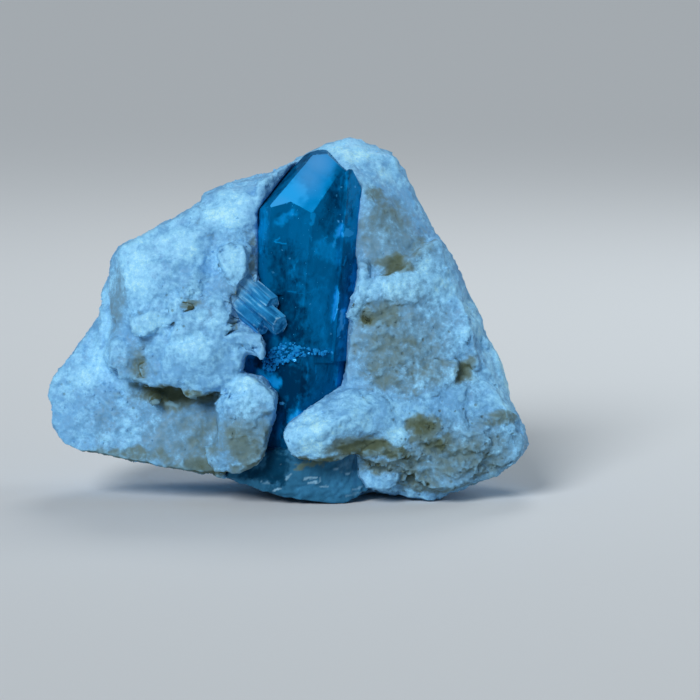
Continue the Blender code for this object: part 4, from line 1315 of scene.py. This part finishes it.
# Chips scattered over a surface, more of them where its "grain" attribute is high: a ball
# with few faces, squashed and turned at random between these limits.
chipForm = {
    "leastShape": (0.6, 0.6, 0.4), "mostShape": (1.5, 1.1, 0.9),
    "leastTurn": (-1.2, -1.2, 0.0), "mostTurn": (1.2, 1.2, 6.28),
}
grainForm = {"spacing": 0.5, "perArea": 0.5, "smallest": 0.08, "largest": 0.24, "seed": 5}


def groupInput(graph, name, kind, value=None):
    socket = graph.tree.interface.new_socket(name, in_out="INPUT", socket_type=kind)
    if value is not None:
        socket.default_value = value
    return socket.identifier


def chipTree(name, form, material):
    tree = bpy.data.node_groups.new(name, "GeometryNodeTree")
    g = Graph(tree)
    groupInput(g, "surface", "NodeSocketGeometry")
    names = {key: groupInput(g, key, "NodeSocketFloat", float(form[key]))
             for key in ("spacing", "perArea", "smallest", "largest")}
    tree.interface.new_socket("result", in_out="OUTPUT", socket_type="NodeSocketGeometry")
    start = g.add("NodeGroupInput", out="surface")
    chance = g.add("GeometryNodeInputNamedAttribute", {"data_type": "FLOAT"}, {"Name": "grain"})
    spread = g.add("GeometryNodeDistributePointsOnFaces", {"distribute_method": "POISSON"}, {
        "Mesh": start, "Distance Min": g.also(start, "spacing") * mm,
        "Density Max": g.also(start, "perArea") / (mm * mm),
        "Density Factor": chance, "Seed": form["seed"]})
    chip = g.add("GeometryNodeMeshIcoSphere", {}, {"Radius": 1.0, "Subdivisions": 1})
    size = g.add("FunctionNodeRandomValue", {"data_type": "FLOAT"}, {
        2: g.also(start, "smallest") * mm, 3: g.also(start, "largest") * mm, "Seed": 3}, out=1)
    shape = g.add("FunctionNodeRandomValue", {"data_type": "FLOAT_VECTOR"}, {
        0: chipForm["leastShape"], 1: chipForm["mostShape"], "Seed": 4})
    scale = g.add("ShaderNodeVectorMath", {"operation": "SCALE"}, {0: shape, "Scale": size})
    placed = g.add("GeometryNodeInstanceOnPoints", {}, {
        "Points": spread, "Instance": chip, "Rotation": g.also(spread, "Rotation"),
        "Scale": scale})
    spin = g.add("FunctionNodeRandomValue", {"data_type": "FLOAT_VECTOR"}, {
        0: chipForm["leastTurn"], 1: chipForm["mostTurn"], "Seed": 9})
    turned = g.add("GeometryNodeRotateInstances", {}, {"Instances": placed, "Rotation": spin})
    real = g.add("GeometryNodeRealizeInstances", {}, {"Geometry": turned})
    done = g.add("GeometryNodeSetMaterial", {}, {"Geometry": real, "Material": material})
    g.add("NodeGroupOutput", {}, {"result": done})
    return tree, names


def scatterChips(name, mesh, form, material):
    tree, names = chipTree(name, form, material)
    chips = bpy.data.objects.new(name, mesh.copy())
    bpy.context.scene.collection.objects.link(chips)
    modifier = chips.modifiers.new("chips", "NODES")
    modifier.node_group = tree
    for key, identifier in names.items():
        modifier[identifier] = float(form[key])
    settle(chips)
    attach(chips, "root")
    print("%s: %d faces" % (name, len(chips.data.polygons)))


scatterChips("feldsparGrains", rock.data, grainForm, feldspar)


# Colours of the blue crystals. Where each one shows follows the attributes glow, dim, veil,
# tarnish and sheen, which are painted on the pieces and count as 0 where they are missing. The
# azure and light colours follow glow, which is painted light; deep follows dim, which is painted
# shade; and the sheen colour is a painted reflection.
aquaFinish = {
    "body": (0.0, 0.135, 0.350),
    "deep": (0.0, 0.034, 0.100),
    "azure": (0.001, 0.285, 0.72),
    "light": (0.025, 0.44, 1.0),
    "pale": (0.08, 0.52, 1.0),
    "sheen": (0.125, 0.41, 0.82),
    "stain": (0.14, 0.22, 0.19),
    "transmission": 0.13,
    "ior": 1.36,
    "specular": 0.02,
    "tint": (0.15, 0.65, 1.0),
    "absorb": (0.02, 0.50, 0.85),
    "density": 260.0,
    "roughness": 0.10,
    "bump": 0.22,
    "bumpDepth": 0.12,
    "threads": 0.45,
}


def makeAqua(name, look):
    colours = {key: (*value, 1.0) for key, value in look.items() if isinstance(value, tuple)}
    material, g = newMaterial(name)
    place = g.add("ShaderNodeTexCoord", out="Object")
    upright = g.add("ShaderNodeMapping", {}, {
        "Vector": place, "Rotation": (0.0, -math.radians(crystalForm["lean"]), 0.0)})
    clouds = g.noise(g.scaled(upright, 1.0, 1.0, 0.7), 3.0, 5.0, 0.6, 1.0)
    wisps = g.noise(g.scaled(upright, 1.0, 1.0, 0.5), 0.9, 4.0, 0.65, 0.6)
    mixed = clouds * 0.6 + wisps * 0.4
    glow = g.attribute("glow")
    dim = g.attribute("dim")
    veil = g.attribute("veil")
    # Painted shade: the deep colour follows dim, broken by noise clouds.
    colour = g.blend(g.ramp(dim + (0.5 - mixed) * 2.6, 0.0, 1.0), colours["body"],
                     colours["deep"])
    # Fine curved veils, where a noise crosses its middle value.
    bend = g.noise(g.scaled(upright, 1.0, 1.0, 1.6), 4.0, 2.0, 0.5, 1.5)
    thin = g.ramp(g.maths("ABSOLUTE", g.maths("FRACT", bend * 9.0) - 0.5), 0.0, 0.06, 1.0, 0.0)
    thread = thin * g.ramp(wisps, 0.50, 0.62) * g.ramp(clouds, 0.42, 0.60)
    glow = glow + thread * look["threads"]
    # Painted light: the azure and light colours follow glow.
    colour = g.blend(g.ramp(glow + (mixed - 0.5) * 2.0 - dim * 0.15, 0.05, 1.0), colour,
                     colours["azure"])
    colour = g.blend(g.ramp(glow + (mixed - 0.5) * 0.6, 0.85, 1.6), colour, colours["light"])
    colour = g.blend(g.ramp(veil + (wisps - 0.5) * 0.25, 0.08, 1.0), colour, colours["pale"])
    colour = g.blend(g.ramp(g.attribute("tarnish") + (wisps - 0.5) * 0.3, 0.15, 0.85), colour,
                     colours["stain"])
    # Painted reflection: the sheen colour on the broad facet.
    colour = g.blend(g.attribute("sheen"), colour, colours["sheen"])
    lines = g.noise(g.scaled(upright, 1.0, 1.0, 0.05), 0.30, 3.0, 0.6)
    waves = g.noise(upright, 2.2, 3.0, 0.5)
    bump = g.add("ShaderNodeBump", {}, {
        "Strength": look["bump"], "Distance": look["bumpDepth"] * mm,
        "Height": lines * 0.4 + waves})
    surface = g.add("ShaderNodeBsdfPrincipled", {}, {
        "Base Color": colour, "Roughness": look["roughness"], "IOR": look["ior"],
        "Transmission Weight": look["transmission"], "Normal": bump,
        "Specular IOR Level": look["specular"], "Specular Tint": colours["tint"]})
    inside = g.add("ShaderNodeVolumeAbsorption", {}, {
        "Color": colours["absorb"], "Density": look["density"]})
    shaderOutput(g, surface, inside)
    return material


def refineFront(obj, cell):
    # Slices the front both ways and divides the pieces, so that it is fine enough to paint.
    bm = bmesh.new()
    bm.from_mesh(obj.data)
    bmesh.ops.dissolve_limit(bm, angle_limit=0.01, verts=bm.verts[:], edges=bm.edges[:])
    points = readPoints(obj.data)
    for axis in (0, 2):
        normal = Vector((float(axis == 0), 0.0, float(axis == 2)))
        low, high = points[:, axis].min(), points[:, axis].max()
        for place in np.arange(low + cell, high, cell):
            faces = [f for f in bm.faces if f.normal.y < 0.1]
            edges = {e for f in faces for e in f.edges}
            bmesh.ops.bisect_plane(bm, geom=faces + list(edges), dist=1e-5,
                                   plane_co=normal * place, plane_no=normal)
    bmesh.ops.triangulate(bm, faces=[f for f in bm.faces if len(f.verts) > 4])
    bm.to_mesh(obj.data)
    bm.free()
    fine = obj.modifiers.new("fine", "SUBSURF")
    fine.subdivision_type = "SIMPLE"
    fine.levels = fine.render_levels = crystalForm["paintLevels"]
    settle(obj)


def edgeNearness(points, bodies, reach):
    # 1 on an edge of one of the bodies, 0 further from it than reach
    near = np.zeros(len(points))
    for planes in bodies:
        away = np.stack([points @ np.array(n) - float(Vector(n).dot(p)) for n, p in planes])
        away.sort(axis=0)
        onSurface = np.abs(away[-1]) < 0.15
        near = np.maximum(near, onSurface * (1.0 - softStep(-away[-2], 0.0, reach)))
    return near


def paintCrystal(obj, marks):
    # The strokes of each kind, on the faces that look to the front.
    points = readPoints(obj.data)
    front = softStep(-readNormals(obj.data)[:, 1], 0.0, 0.3)
    places = seenFromFront(points)
    wander = wanderAt(points, 0.8) + wanderAt(points, 2.4, 9.0)
    values = {name: strokes(places, marks.get(name, []), wander) * front * marks["strength"]
              for name in ("glow", "dim", "veil", "tarnish")}
    return points, places, values


def savePaint(obj, values):
    for name, value in values.items():
        paint(obj.data, name, value)


def makeShaft():
    shaft = crystalPrism("main")
    combine(shaft, crystalPrism("right"), "UNION")
    combine(shaft, crystalPrism("left"), "UNION")
    shaft.name = "crystalShaft"
    return finishCrystal(shaft)


def finishCrystal(obj):
    # Cleans up what the cuts leave, bevels the edges and closes the mesh with triangles.
    bm = bmesh.new()
    bm.from_mesh(obj.data)
    bmesh.ops.remove_doubles(bm, verts=bm.verts[:], dist=1e-4)
    bmesh.ops.dissolve_limit(
        bm, angle_limit=math.radians(1.0), verts=bm.verts[:], edges=bm.edges[:])
    bm.to_mesh(obj.data)
    bm.free()
    bevel = obj.modifiers.new("edges", "BEVEL")
    bevel.width = crystalForm["edgeBevel"]
    bevel.segments = 2
    bevel.limit_method = "ANGLE"
    bevel.angle_limit = math.radians(crystalForm["bevelAngle"])
    settle(obj)
    bm = bmesh.new()
    bm.from_mesh(obj.data)
    bmesh.ops.triangulate(bm, faces=bm.faces[:])
    bmesh.ops.recalc_face_normals(bm, faces=bm.faces[:])
    bm.to_mesh(obj.data)
    bm.free()
    return obj


# Strokes of painted light (glow) and painted shade (dim) in the crystal, with pale inner specks
# and veils (veil): amount, half width, path (x, z) as the front shows it.
crystalMarks = {
    "glow": [
        (0.35, 1.0, [(-1.0, 13.5), (-1.5, 10.0)]),
        (1.0, 1.1, [(-6.2, 21.0), (-5.6, 20.0), (-5.0, 17.5)]),
        (0.7, 0.7, [(10.5, 36.5), (10.2, 33.5), (9.6, 31.0)]),
        (0.75, 0.58, [(-1.5, 40.3), (-0.4, 41.2), (1.0, 41.8)]),
        (0.45, 0.69, [(-3.2, 42.0), (-3.5, 39.7), (-3.6, 37.7)]),
        (0.75, 1.25, [(9.6, 46.4), (10.1, 42.9), (9.8, 38.1)]),
        (0.3, 1.0, [(-3.6, 44.0), (-3.6, 40.0), (-3.9, 36.5)]),
        (0.55, 0.8, [(8.9, 27.0), (8.3, 21.5), (7.6, 17.0)]),
        (1.1, 0.37, [(7.7, 39.9), (7.2, 38.8)]), (0.9, 0.22, [(7.2, 38.8), (6.4, 37.0)]),
        (2.2, 0.3, [(8.1, 38.8), (8.5, 39.2), (8.7, 38.8), (9.2, 39.1)]),
        (0.45, 1.15, [(5.2, 36.5), (6.3, 35.8), (7.1, 35.0)]),
        (0.5, 0.46, [(10.1, 35.5), (9.8, 33.5), (9.6, 31.9)]),
        (0.7, 0.26, [(3.8, 41.6), (3.6, 40.2)]), (0.35, 0.13, [(3.5, 40.0), (3.5, 37.7)]),
        (0.75, 0.13, [(-1.7, 37.8), (-1.1, 38.2)]),
        (0.75, 0.13, [(-1.5, 37.7), (-0.7, 37.5), (-0.2, 37.4)]),
        (0.6, 0.13, [(5.1, 37.7), (5.7, 38.5)]), (0.6, 0.13, [(8.1, 34.3), (8.5, 35.7)]),
        (0.35, 0.14, [(5.3, 31.3), (2.7, 30.4), (0.1, 30.7)]),
        (0.3, 0.14, [(1.6, 35.1), (0.7, 33.3), (1.3, 31.6)]),
        (1.0, 0.35, [(7.1, 30.9), (6.8, 28.9), (6.5, 26.6)]),
        (1.2, 0.12, [(7.3, 30.5), (7.1, 28.0), (6.7, 26.4)]),
        (0.9, 0.26, [(7.8, 28.0), (7.7, 26.1), (7.2, 24.4)]),
        (1.4, 0.1, [(7.9, 28.0), (8.1, 26.2), (7.6, 25.1)]),
        (0.4, 0.72, [(-3.5, 24.4), (-1.7, 23.8), (0.2, 23.5)]),
        (0.8, 0.86, [(-4.8, 18.6), (-2.7, 18.2), (-1.4, 17.6)]),
        (0.28, 2.2, [(4.6, 31.0), (4.7, 23.2)]), (0.3, 1.15, [(1.7, 14.9), (0.9, 12.4)]),
        (0.9, 0.29, [(0.1, 11.8), (1.5, 13.2), (3.4, 13.7)]), (0.3, 0.86, [(-1.8, 11.4)]),
        (0.45, 0.13, [(2.9, 20.3), (2.8, 17.4)]), (0.35, 0.13, [(4.0, 20.5), (4.1, 17.6)]),
        (0.3, 0.13, [(5.5, 20.1), (5.7, 18.4)]),
        (0.45, 0.17, [(-0.5, 7.9), (-0.9, 6.8), (-0.9, 5.8)]),
    ],
    "dim": [
        (0.5, 0.6, [(-3.1, 43.6), (-0.3, 47.0), (2.8, 50.4)]),
        (0.4, 1.3, [(6.9, 46.1), (6.4, 43.5), (6.0, 40.6)]), (0.5, 0.58, [(8.8, 47.2)]),
        (0.3, 0.9, [(2.3, 35.5), (2.2, 31.9)]), (0.48, 2.01, [(-0.9, 35.5), (-0.2, 31.1)]),
        (0.55, 1.87, [(-0.2, 29.9), (0.5, 24.5)]), (0.6, 1.73, [(0.1, 19.3), (0.9, 15.9)]),
        (0.9, 0.14, [(0.7, 15.9), (-0.2, 13.5), (-0.8, 9.7)]),
        (0.45, 0.72, [(-1.2, 15.1), (-1.6, 13.5)]), (0.35, 1.01, [(8.5, 34.1), (8.4, 30.4)]),
        (0.35, 0.5, [(-3.2, 21.8), (-4.0, 20.1)]),
    ],
    "veil": [
        (0.8, 0.14, [(9.7, 45.7)]), (0.55, 0.13, [(6.9, 44.3)]), (0.45, 0.13, [(7.7, 45.6)]),
        (0.6, 0.13, [(7.3, 40.6)]), (0.6, 0.13, [(7.8, 40.6)]), (0.5, 0.12, [(7.5, 41.5)]),
        (0.8, 0.14, [(9.9, 37.0)]), (0.45, 0.12, [(8.9, 39.7)]), (0.5, 0.13, [(-0.6, 36.5)]),
        (0.4, 0.2, [(-2.0, 33.4)]), (0.4, 0.13, [(0.4, 35.3)]), (0.35, 0.17, [(-2.9, 42.0)]),
        (0.4, 0.12, [(2.6, 49.3)]), (0.35, 0.12, [(3.0, 49.6)]), (0.4, 0.12, [(1.0, 41.7)]),
        (0.9, 0.23, [(-0.9, 14.5)]), (0.7, 0.14, [(7.1, 28.0)]), (0.5, 0.13, [(3.4, 28.7)]),
        (0.45, 0.12, [(4.9, 16.1)]), (0.5, 0.14, [(7.5, 24.0)]), (0.5, 0.12, [(6.3, 24.7)]),
        (0.5, 0.17, [(7.6, 27.8), (7.8, 25.1)]),
    ],
    "strength": 1.35,
    # It darkens downwards, between these heights with their sign turned
    "darkening": (-34.0, -8.0),
    "darkest": 0.5,
    # The broad facet: its painted light, and the lighter painted light of its left wing
    "facetGlow": 0.95,
    "wing": (0.75, 1.6, [(-2.0, 42.5), (0.9, 44.6)]),
    # Its painted reflection, a smooth azure sheen: centre, radii, strength
    "sheen": [((4.2, -3.5, 48.6), (1.9, 4.0, 1.9), 0.62),
              ((3.0, -5.5, 46.8), (1.6, 4.0, 2.2), 0.45),
              ((-1.2, -9.2, 43.2), (1.4, 2.0, 0.8), 0.25)],
    # The line (x, z, slant) that its right side fades at, and how far either way
    "fade": (4.7, 41.5, 0.315),
    "fadeWidth": (-0.7, 1.0),
}


def paintShaft(obj):
    points, places, values = paintCrystal(obj, crystalMarks)
    darker = softStep(-points[:, 2], *crystalMarks["darkening"])
    values["dim"] += darker * crystalMarks["darkest"]
    normal, corner = crystalForm["broadFace"]
    normal = unit(np.array(normal))
    onFacet = 1.0 - softStep(np.abs((points - np.array(corner)) @ normal), 0.02, 0.05)
    x, z, slant = crystalMarks["fade"]
    right = points[:, 0] - x - (points[:, 2] - z) * slant
    onFacet = onFacet * (1.0 - softStep(right, *crystalMarks["fadeWidth"]))
    wing = strokes(places, [crystalMarks["wing"]], wanderAt(points, 1.5))
    # Painted light on the broad facet, as if lit through from above.
    values["glow"] = np.maximum(values["glow"], onFacet * (crystalMarks["facetGlow"] + wing))
    values["dim"] *= 1.0 - onFacet
    values["veil"] *= 1.0 - onFacet
    # Painted reflection: a smooth sheen on the broad facet.
    values["sheen"] = onFacet * np.max(
        [patch(points, centre, radii, 0.9) * strength
         for centre, radii, strength in crystalMarks["sheen"]], axis=0)
    values["grain"] = softStep(-readNormals(obj.data)[:, 1], 0.3, 0.5)
    savePaint(obj, values)


aqua = makeAqua("aquamarine", aquaFinish)
shaft = makeShaft()
refineFront(shaft, crystalForm["paintCell"])
paintShaft(shaft)
finishPiece(shaft, "aquamarine_crystal", aqua)

stump = finishCrystal(crystalPrism("lower", crystalForm["stumpGrow"]))
stump.name = "crystalStump"
refineFront(stump, crystalForm["paintCell"])
paintShaft(stump)
finishPiece(stump, "aquamarine_crystal", aqua)

# Specks on the shaft's front, in patches of a bright and a dim blue.
speckForm = {"spacing": 0.9, "perArea": 0.18, "smallest": 0.03, "largest": 0.075, "seed": 12}
speckFinish = {"bright": (0.04, 0.48, 0.95), "dim": (0.03, 0.28, 0.62), "patchSize": 2.0,
               "roughness": 0.5, "specular": 0.05}


def makeSpeck():
    material, g = newMaterial("speck")
    place = g.add("ShaderNodeTexCoord", out="Object")
    share = g.ramp(g.noise(place, speckFinish["patchSize"]), 0.35, 0.65)
    colour = g.blend(share, (*speckFinish["dim"], 1.0), (*speckFinish["bright"], 1.0))
    shaderOutput(g, g.add("ShaderNodeBsdfPrincipled", {}, {
        "Base Color": colour, "Roughness": speckFinish["roughness"],
        "Specular IOR Level": speckFinish["specular"]}))
    return material


scatterChips("crystalSpecks", shaft.data, speckForm, makeSpeck())


# Broken chips along the crack above the stump: places (x, y, z) and half width of the band.
crackForm = {
    "band": [(-3.6, -7.5, 20.3, 0.9), (-2.2, -8.5, 20.8, 1.5), (-0.9, -9.3, 21.5, 1.7),
             (0.6, -10.3, 22.3, 1.4), (1.9, -11.1, 22.4, 0.8), (3.2, -10.5, 22.3, 0.45),
             (4.6, -9.7, 22.0, 0.25), (6.2, -8.8, 21.8, 0.15), (8.2, -7.6, 21.5, 0.12)],
    "spacing": 0.30, "perArea": 8.0, "smallest": 0.10, "largest": 0.52, "seed": 21,
}


def crackBand():
    bm = bmesh.new()
    rows = []
    for x, y, z, half in crackForm["band"]:
        rows.append([bm.verts.new(Vector((x, y + side * 0.1, z + side * half)) * mm)
                     for side in (-1.0, 0.0, 1.0)])
    for row, following in zip(rows, rows[1:]):
        for k in (0, 1):
            bm.faces.new((row[k], following[k], following[k + 1], row[k + 1]))
    mesh = bpy.data.meshes.new("crackBand")
    bm.to_mesh(mesh)
    bm.free()
    paint(mesh, "grain", np.ones(len(mesh.vertices)))
    return mesh


chipFinish = dict(aquaFinish, body=(0.012, 0.30, 0.74), deep=(0.0, 0.07, 0.21),
                  azure=(0.12, 0.55, 1.0), roughness=0.08, specular=0.5, ior=1.57)
scatterChips("crackChips", crackBand(), crackForm, makeAqua("aquamarineChips", chipFinish))


def makeFoot():
    foot = footHull("crystalFoot")
    fuse(foot, footForm["cell"])
    points = readPoints(foot.data)
    normals = readNormals(foot.data)
    away = np.linalg.norm(points - np.array(footForm["rippleCentre"]), axis=1)
    size, height = footForm["bend"]
    bend = fractalAt(points, size, 17.0) * height
    ripple = np.abs(np.sin((away + bend) * math.pi / footForm["rippleLength"])) - 0.6
    size, height = footForm["chip"]
    chip = fractalAt(points, size, 2.0) * height
    low = softStep(points[:, 2], 0.2, 1.0)
    lift = ripple * footForm["rippleHeight"] + chip
    points = points + normals * (lift * low - footForm["inset"])[:, None]
    points[:, 2] = np.maximum(points[:, 2], 0.02)
    writePoints(foot.data, points)
    return foot


# Strokes on the foot, in the same way as the crystal's: glow is painted light, and thin veil
# strokes are painted glints along its ripples.
footMarks = {
    "strength": 1.0,
    "glow": [
        (0.7, 1.2, [(6.2, 2.3), (9.3, 3.5), (11.2, 5.8)]),
        (0.5, 0.8, [(-4.0, 3.6), (-1.8, 2.6)]), (0.45, 0.72, [(1.6, 1.9), (4.7, 2.5)]),
        (0.3, 1.15, [(7.0, 6.8), (9.7, 7.1)]),
    ],
    "dim": [
        (1.3, 1.5, [(-1.9, 9.0), (-2.3, 4.4)]), (1.1, 1.1, [(-5.2, 4.6), (-1.6, 3.6)]),
        (0.9, 0.6, [(-0.4, 6.0), (-0.6, 3.4)]),
    ],
    "veil": [
        (0.9, 0.19, [(2.4, 3.7), (4.0, 3.8)]), (0.8, 0.17, [(2.8, 3.0), (4.1, 3.1)]),
        (0.7, 0.14, [(4.7, 2.5), (5.8, 2.6)]), (0.7, 0.14, [(6.7, 5.3), (7.2, 5.2)]),
        (0.8, 0.14, [(8.4, 4.3), (8.7, 4.4)]), (0.8, 0.19, [(-2.0, 2.1), (-1.1, 2.3)]),
        (0.5, 0.23, [(-3.7, 3.1), (-2.8, 3.0)]), (0.6, 0.13, [(-0.9, 5.7)]),
        (0.5, 0.14, [(4.5, 3.8), (4.7, 3.1)]), (0.5, 0.17, [(9.1, 1.9), (10.8, 2.5)]),
        (0.4, 0.2, [(8.2, 1.1), (10.8, 1.7)]), (0.6, 0.2, [(-0.4, 3.5), (0.5, 4.4)]),
        (0.35, 1.29, [(7.8, 5.8), (10.8, 6.8)]),
    ],
    "tarnish": [
        (0.9, 0.6, [(1.6, 5.7), (3.4, 5.7), (4.9, 6.2)]), (0.7, 0.5, [(4.7, 6.3), (6.6, 6.8)]),
    ],
}
footFinish = dict(aquaFinish, body=(0.034, 0.175, 0.330), deep=(0.004, 0.054, 0.120),
                  azure=(0.055, 0.265, 0.50), light=(0.08, 0.36, 0.66), pale=(0.30, 0.58, 0.80),
                  density=90.0, roughness=0.14, bump=0.9, threads=0.6)
foot = makeFoot()
_, _, footPaint = paintCrystal(foot, footMarks)
savePaint(foot, footPaint)
finishPiece(foot, "aquamarine_crystal", makeAqua("aquamarinePale", footFinish),
            smooth=True)


sideForm = {
    "root": (-7.2, -8.7, 31.0),
    "tip": (-0.6, -11.3, 25.7),
    "slope": 52,
    "rootLength": 3.0,
    "flankShare": 0.55,  # how full a blade's slanted sides are
    "tipFacing": (0.15, -0.45, 1.0),
    "tipRoom": 0.8,
    "edgeReach": 0.3,  # how far the light along an edge spreads
    "paintCell": 0.6,
    # offset across, half width, half thickness, length
    "blades": [(1.55, 0.95, 1.05, 5.6), (0.05, 1.00, 1.25, 8.3), (-1.60, 1.00, 1.00, 6.6)],
}


def bladeFrame(offset):
    root = Vector(sideForm["root"])
    along = (Vector(sideForm["tip"]) - root).normalized()
    thick = Vector((0.0, -1.0, 0.0))
    thick = (thick - along * thick.dot(along)).normalized()
    across = along.cross(thick).normalized()
    if across.z < 0:
        across = -across
    turn = Matrix((across, -thick, along)).transposed().to_4x4()
    return Matrix.Translation(root + across * offset) @ turn


def bladePlanes():
    bodies = []
    for offset, halfWidth, halfThickness, length in sideForm["blades"]:
        place = bladeFrame(offset)
        slope = math.radians(sideForm["slope"])
        flank = (halfWidth * math.sin(slope)
                 + sideForm["flankShare"] * halfThickness * math.cos(slope))
        sides = [(0, halfThickness), (180, halfThickness)]
        for angle in (sideForm["slope"], 180 - sideForm["slope"]):
            sides += [(angle, flank), (-angle, flank)]
        tip = place @ Vector((0.0, 0.0, length))
        prism = dict(sides=sides,
                     span=(-sideForm["rootLength"], length + sideForm["tipRoom"]),
                     ends=[(place.to_3x3() @ Vector(sideForm["tipFacing"]), tip)])
        bodies.append((prismPlanes(prism, place), tip))
    return bodies


def makeBlades():
    sheaf = None
    for planes, tip in bladePlanes():
        blade = prismObject("blade", planes, tip)
        if sheaf is None:
            sheaf = blade
        else:
            combine(sheaf, blade, "UNION")
    sheaf.name = "sideBlades"
    return finishCrystal(sheaf)


def paintBlades(obj):
    # Streaks of painted light along the blades, painted highlights broken up along their edges,
    # darker tips and a pale root.
    points = readPoints(obj.data)
    turn = np.array(bladeFrame(0.0).inverted())
    local = points @ turn[:3, :3].T + turn[:3, 3]
    streaks = fractalAt(local * np.array((1.0, 1.0, 0.10)), 0.35, 6.0)
    wide = fractalAt(local * np.array((1.0, 1.0, 0.25)), 1.3, 16.0, 2)
    edges = edgeNearness(points, [planes for planes, _ in bladePlanes()], sideForm["edgeReach"])
    broken = softStep(fractalAt(points, 0.8, 27.0), -0.3, 0.4)
    tips = softStep(local[:, 2], 3.5, 7.0)
    root = 1.0 - softStep(local[:, 2], 0.0, 4.0)
    # Painted highlights: light on the edges, broken up by a noise.
    veil = (edges * broken * (0.2 + 0.35 * tips) + softStep(streaks, 0.15, 0.6) * 0.4
            + root * 0.5)
    savePaint(obj, {
        "glow": np.clip(0.5 + streaks * 0.9 + wide * 0.8, 0.0, 1.6),
        "dim": np.clip(-wide * 1.2 - streaks * 0.8, 0.0, 1.0) * (0.4 + 0.6 * tips),
        "veil": np.clip(veil, 0.0, 1.0)})


sideFinish = dict(aquaFinish, body=(0.020, 0.235, 0.56), deep=(0.004, 0.115, 0.31),
                  azure=(0.045, 0.40, 0.83), light=(0.12, 0.56, 1.0), pale=(0.36, 0.74, 1.0),
                  density=30.0, roughness=0.08, transmission=0.2, specular=0.3, ior=1.45)
blades = makeBlades()
refineFront(blades, sideForm["paintCell"])
paintBlades(blades)
finishPiece(blades, "side_crystal", makeAqua("aquamarineSide", sideFinish))
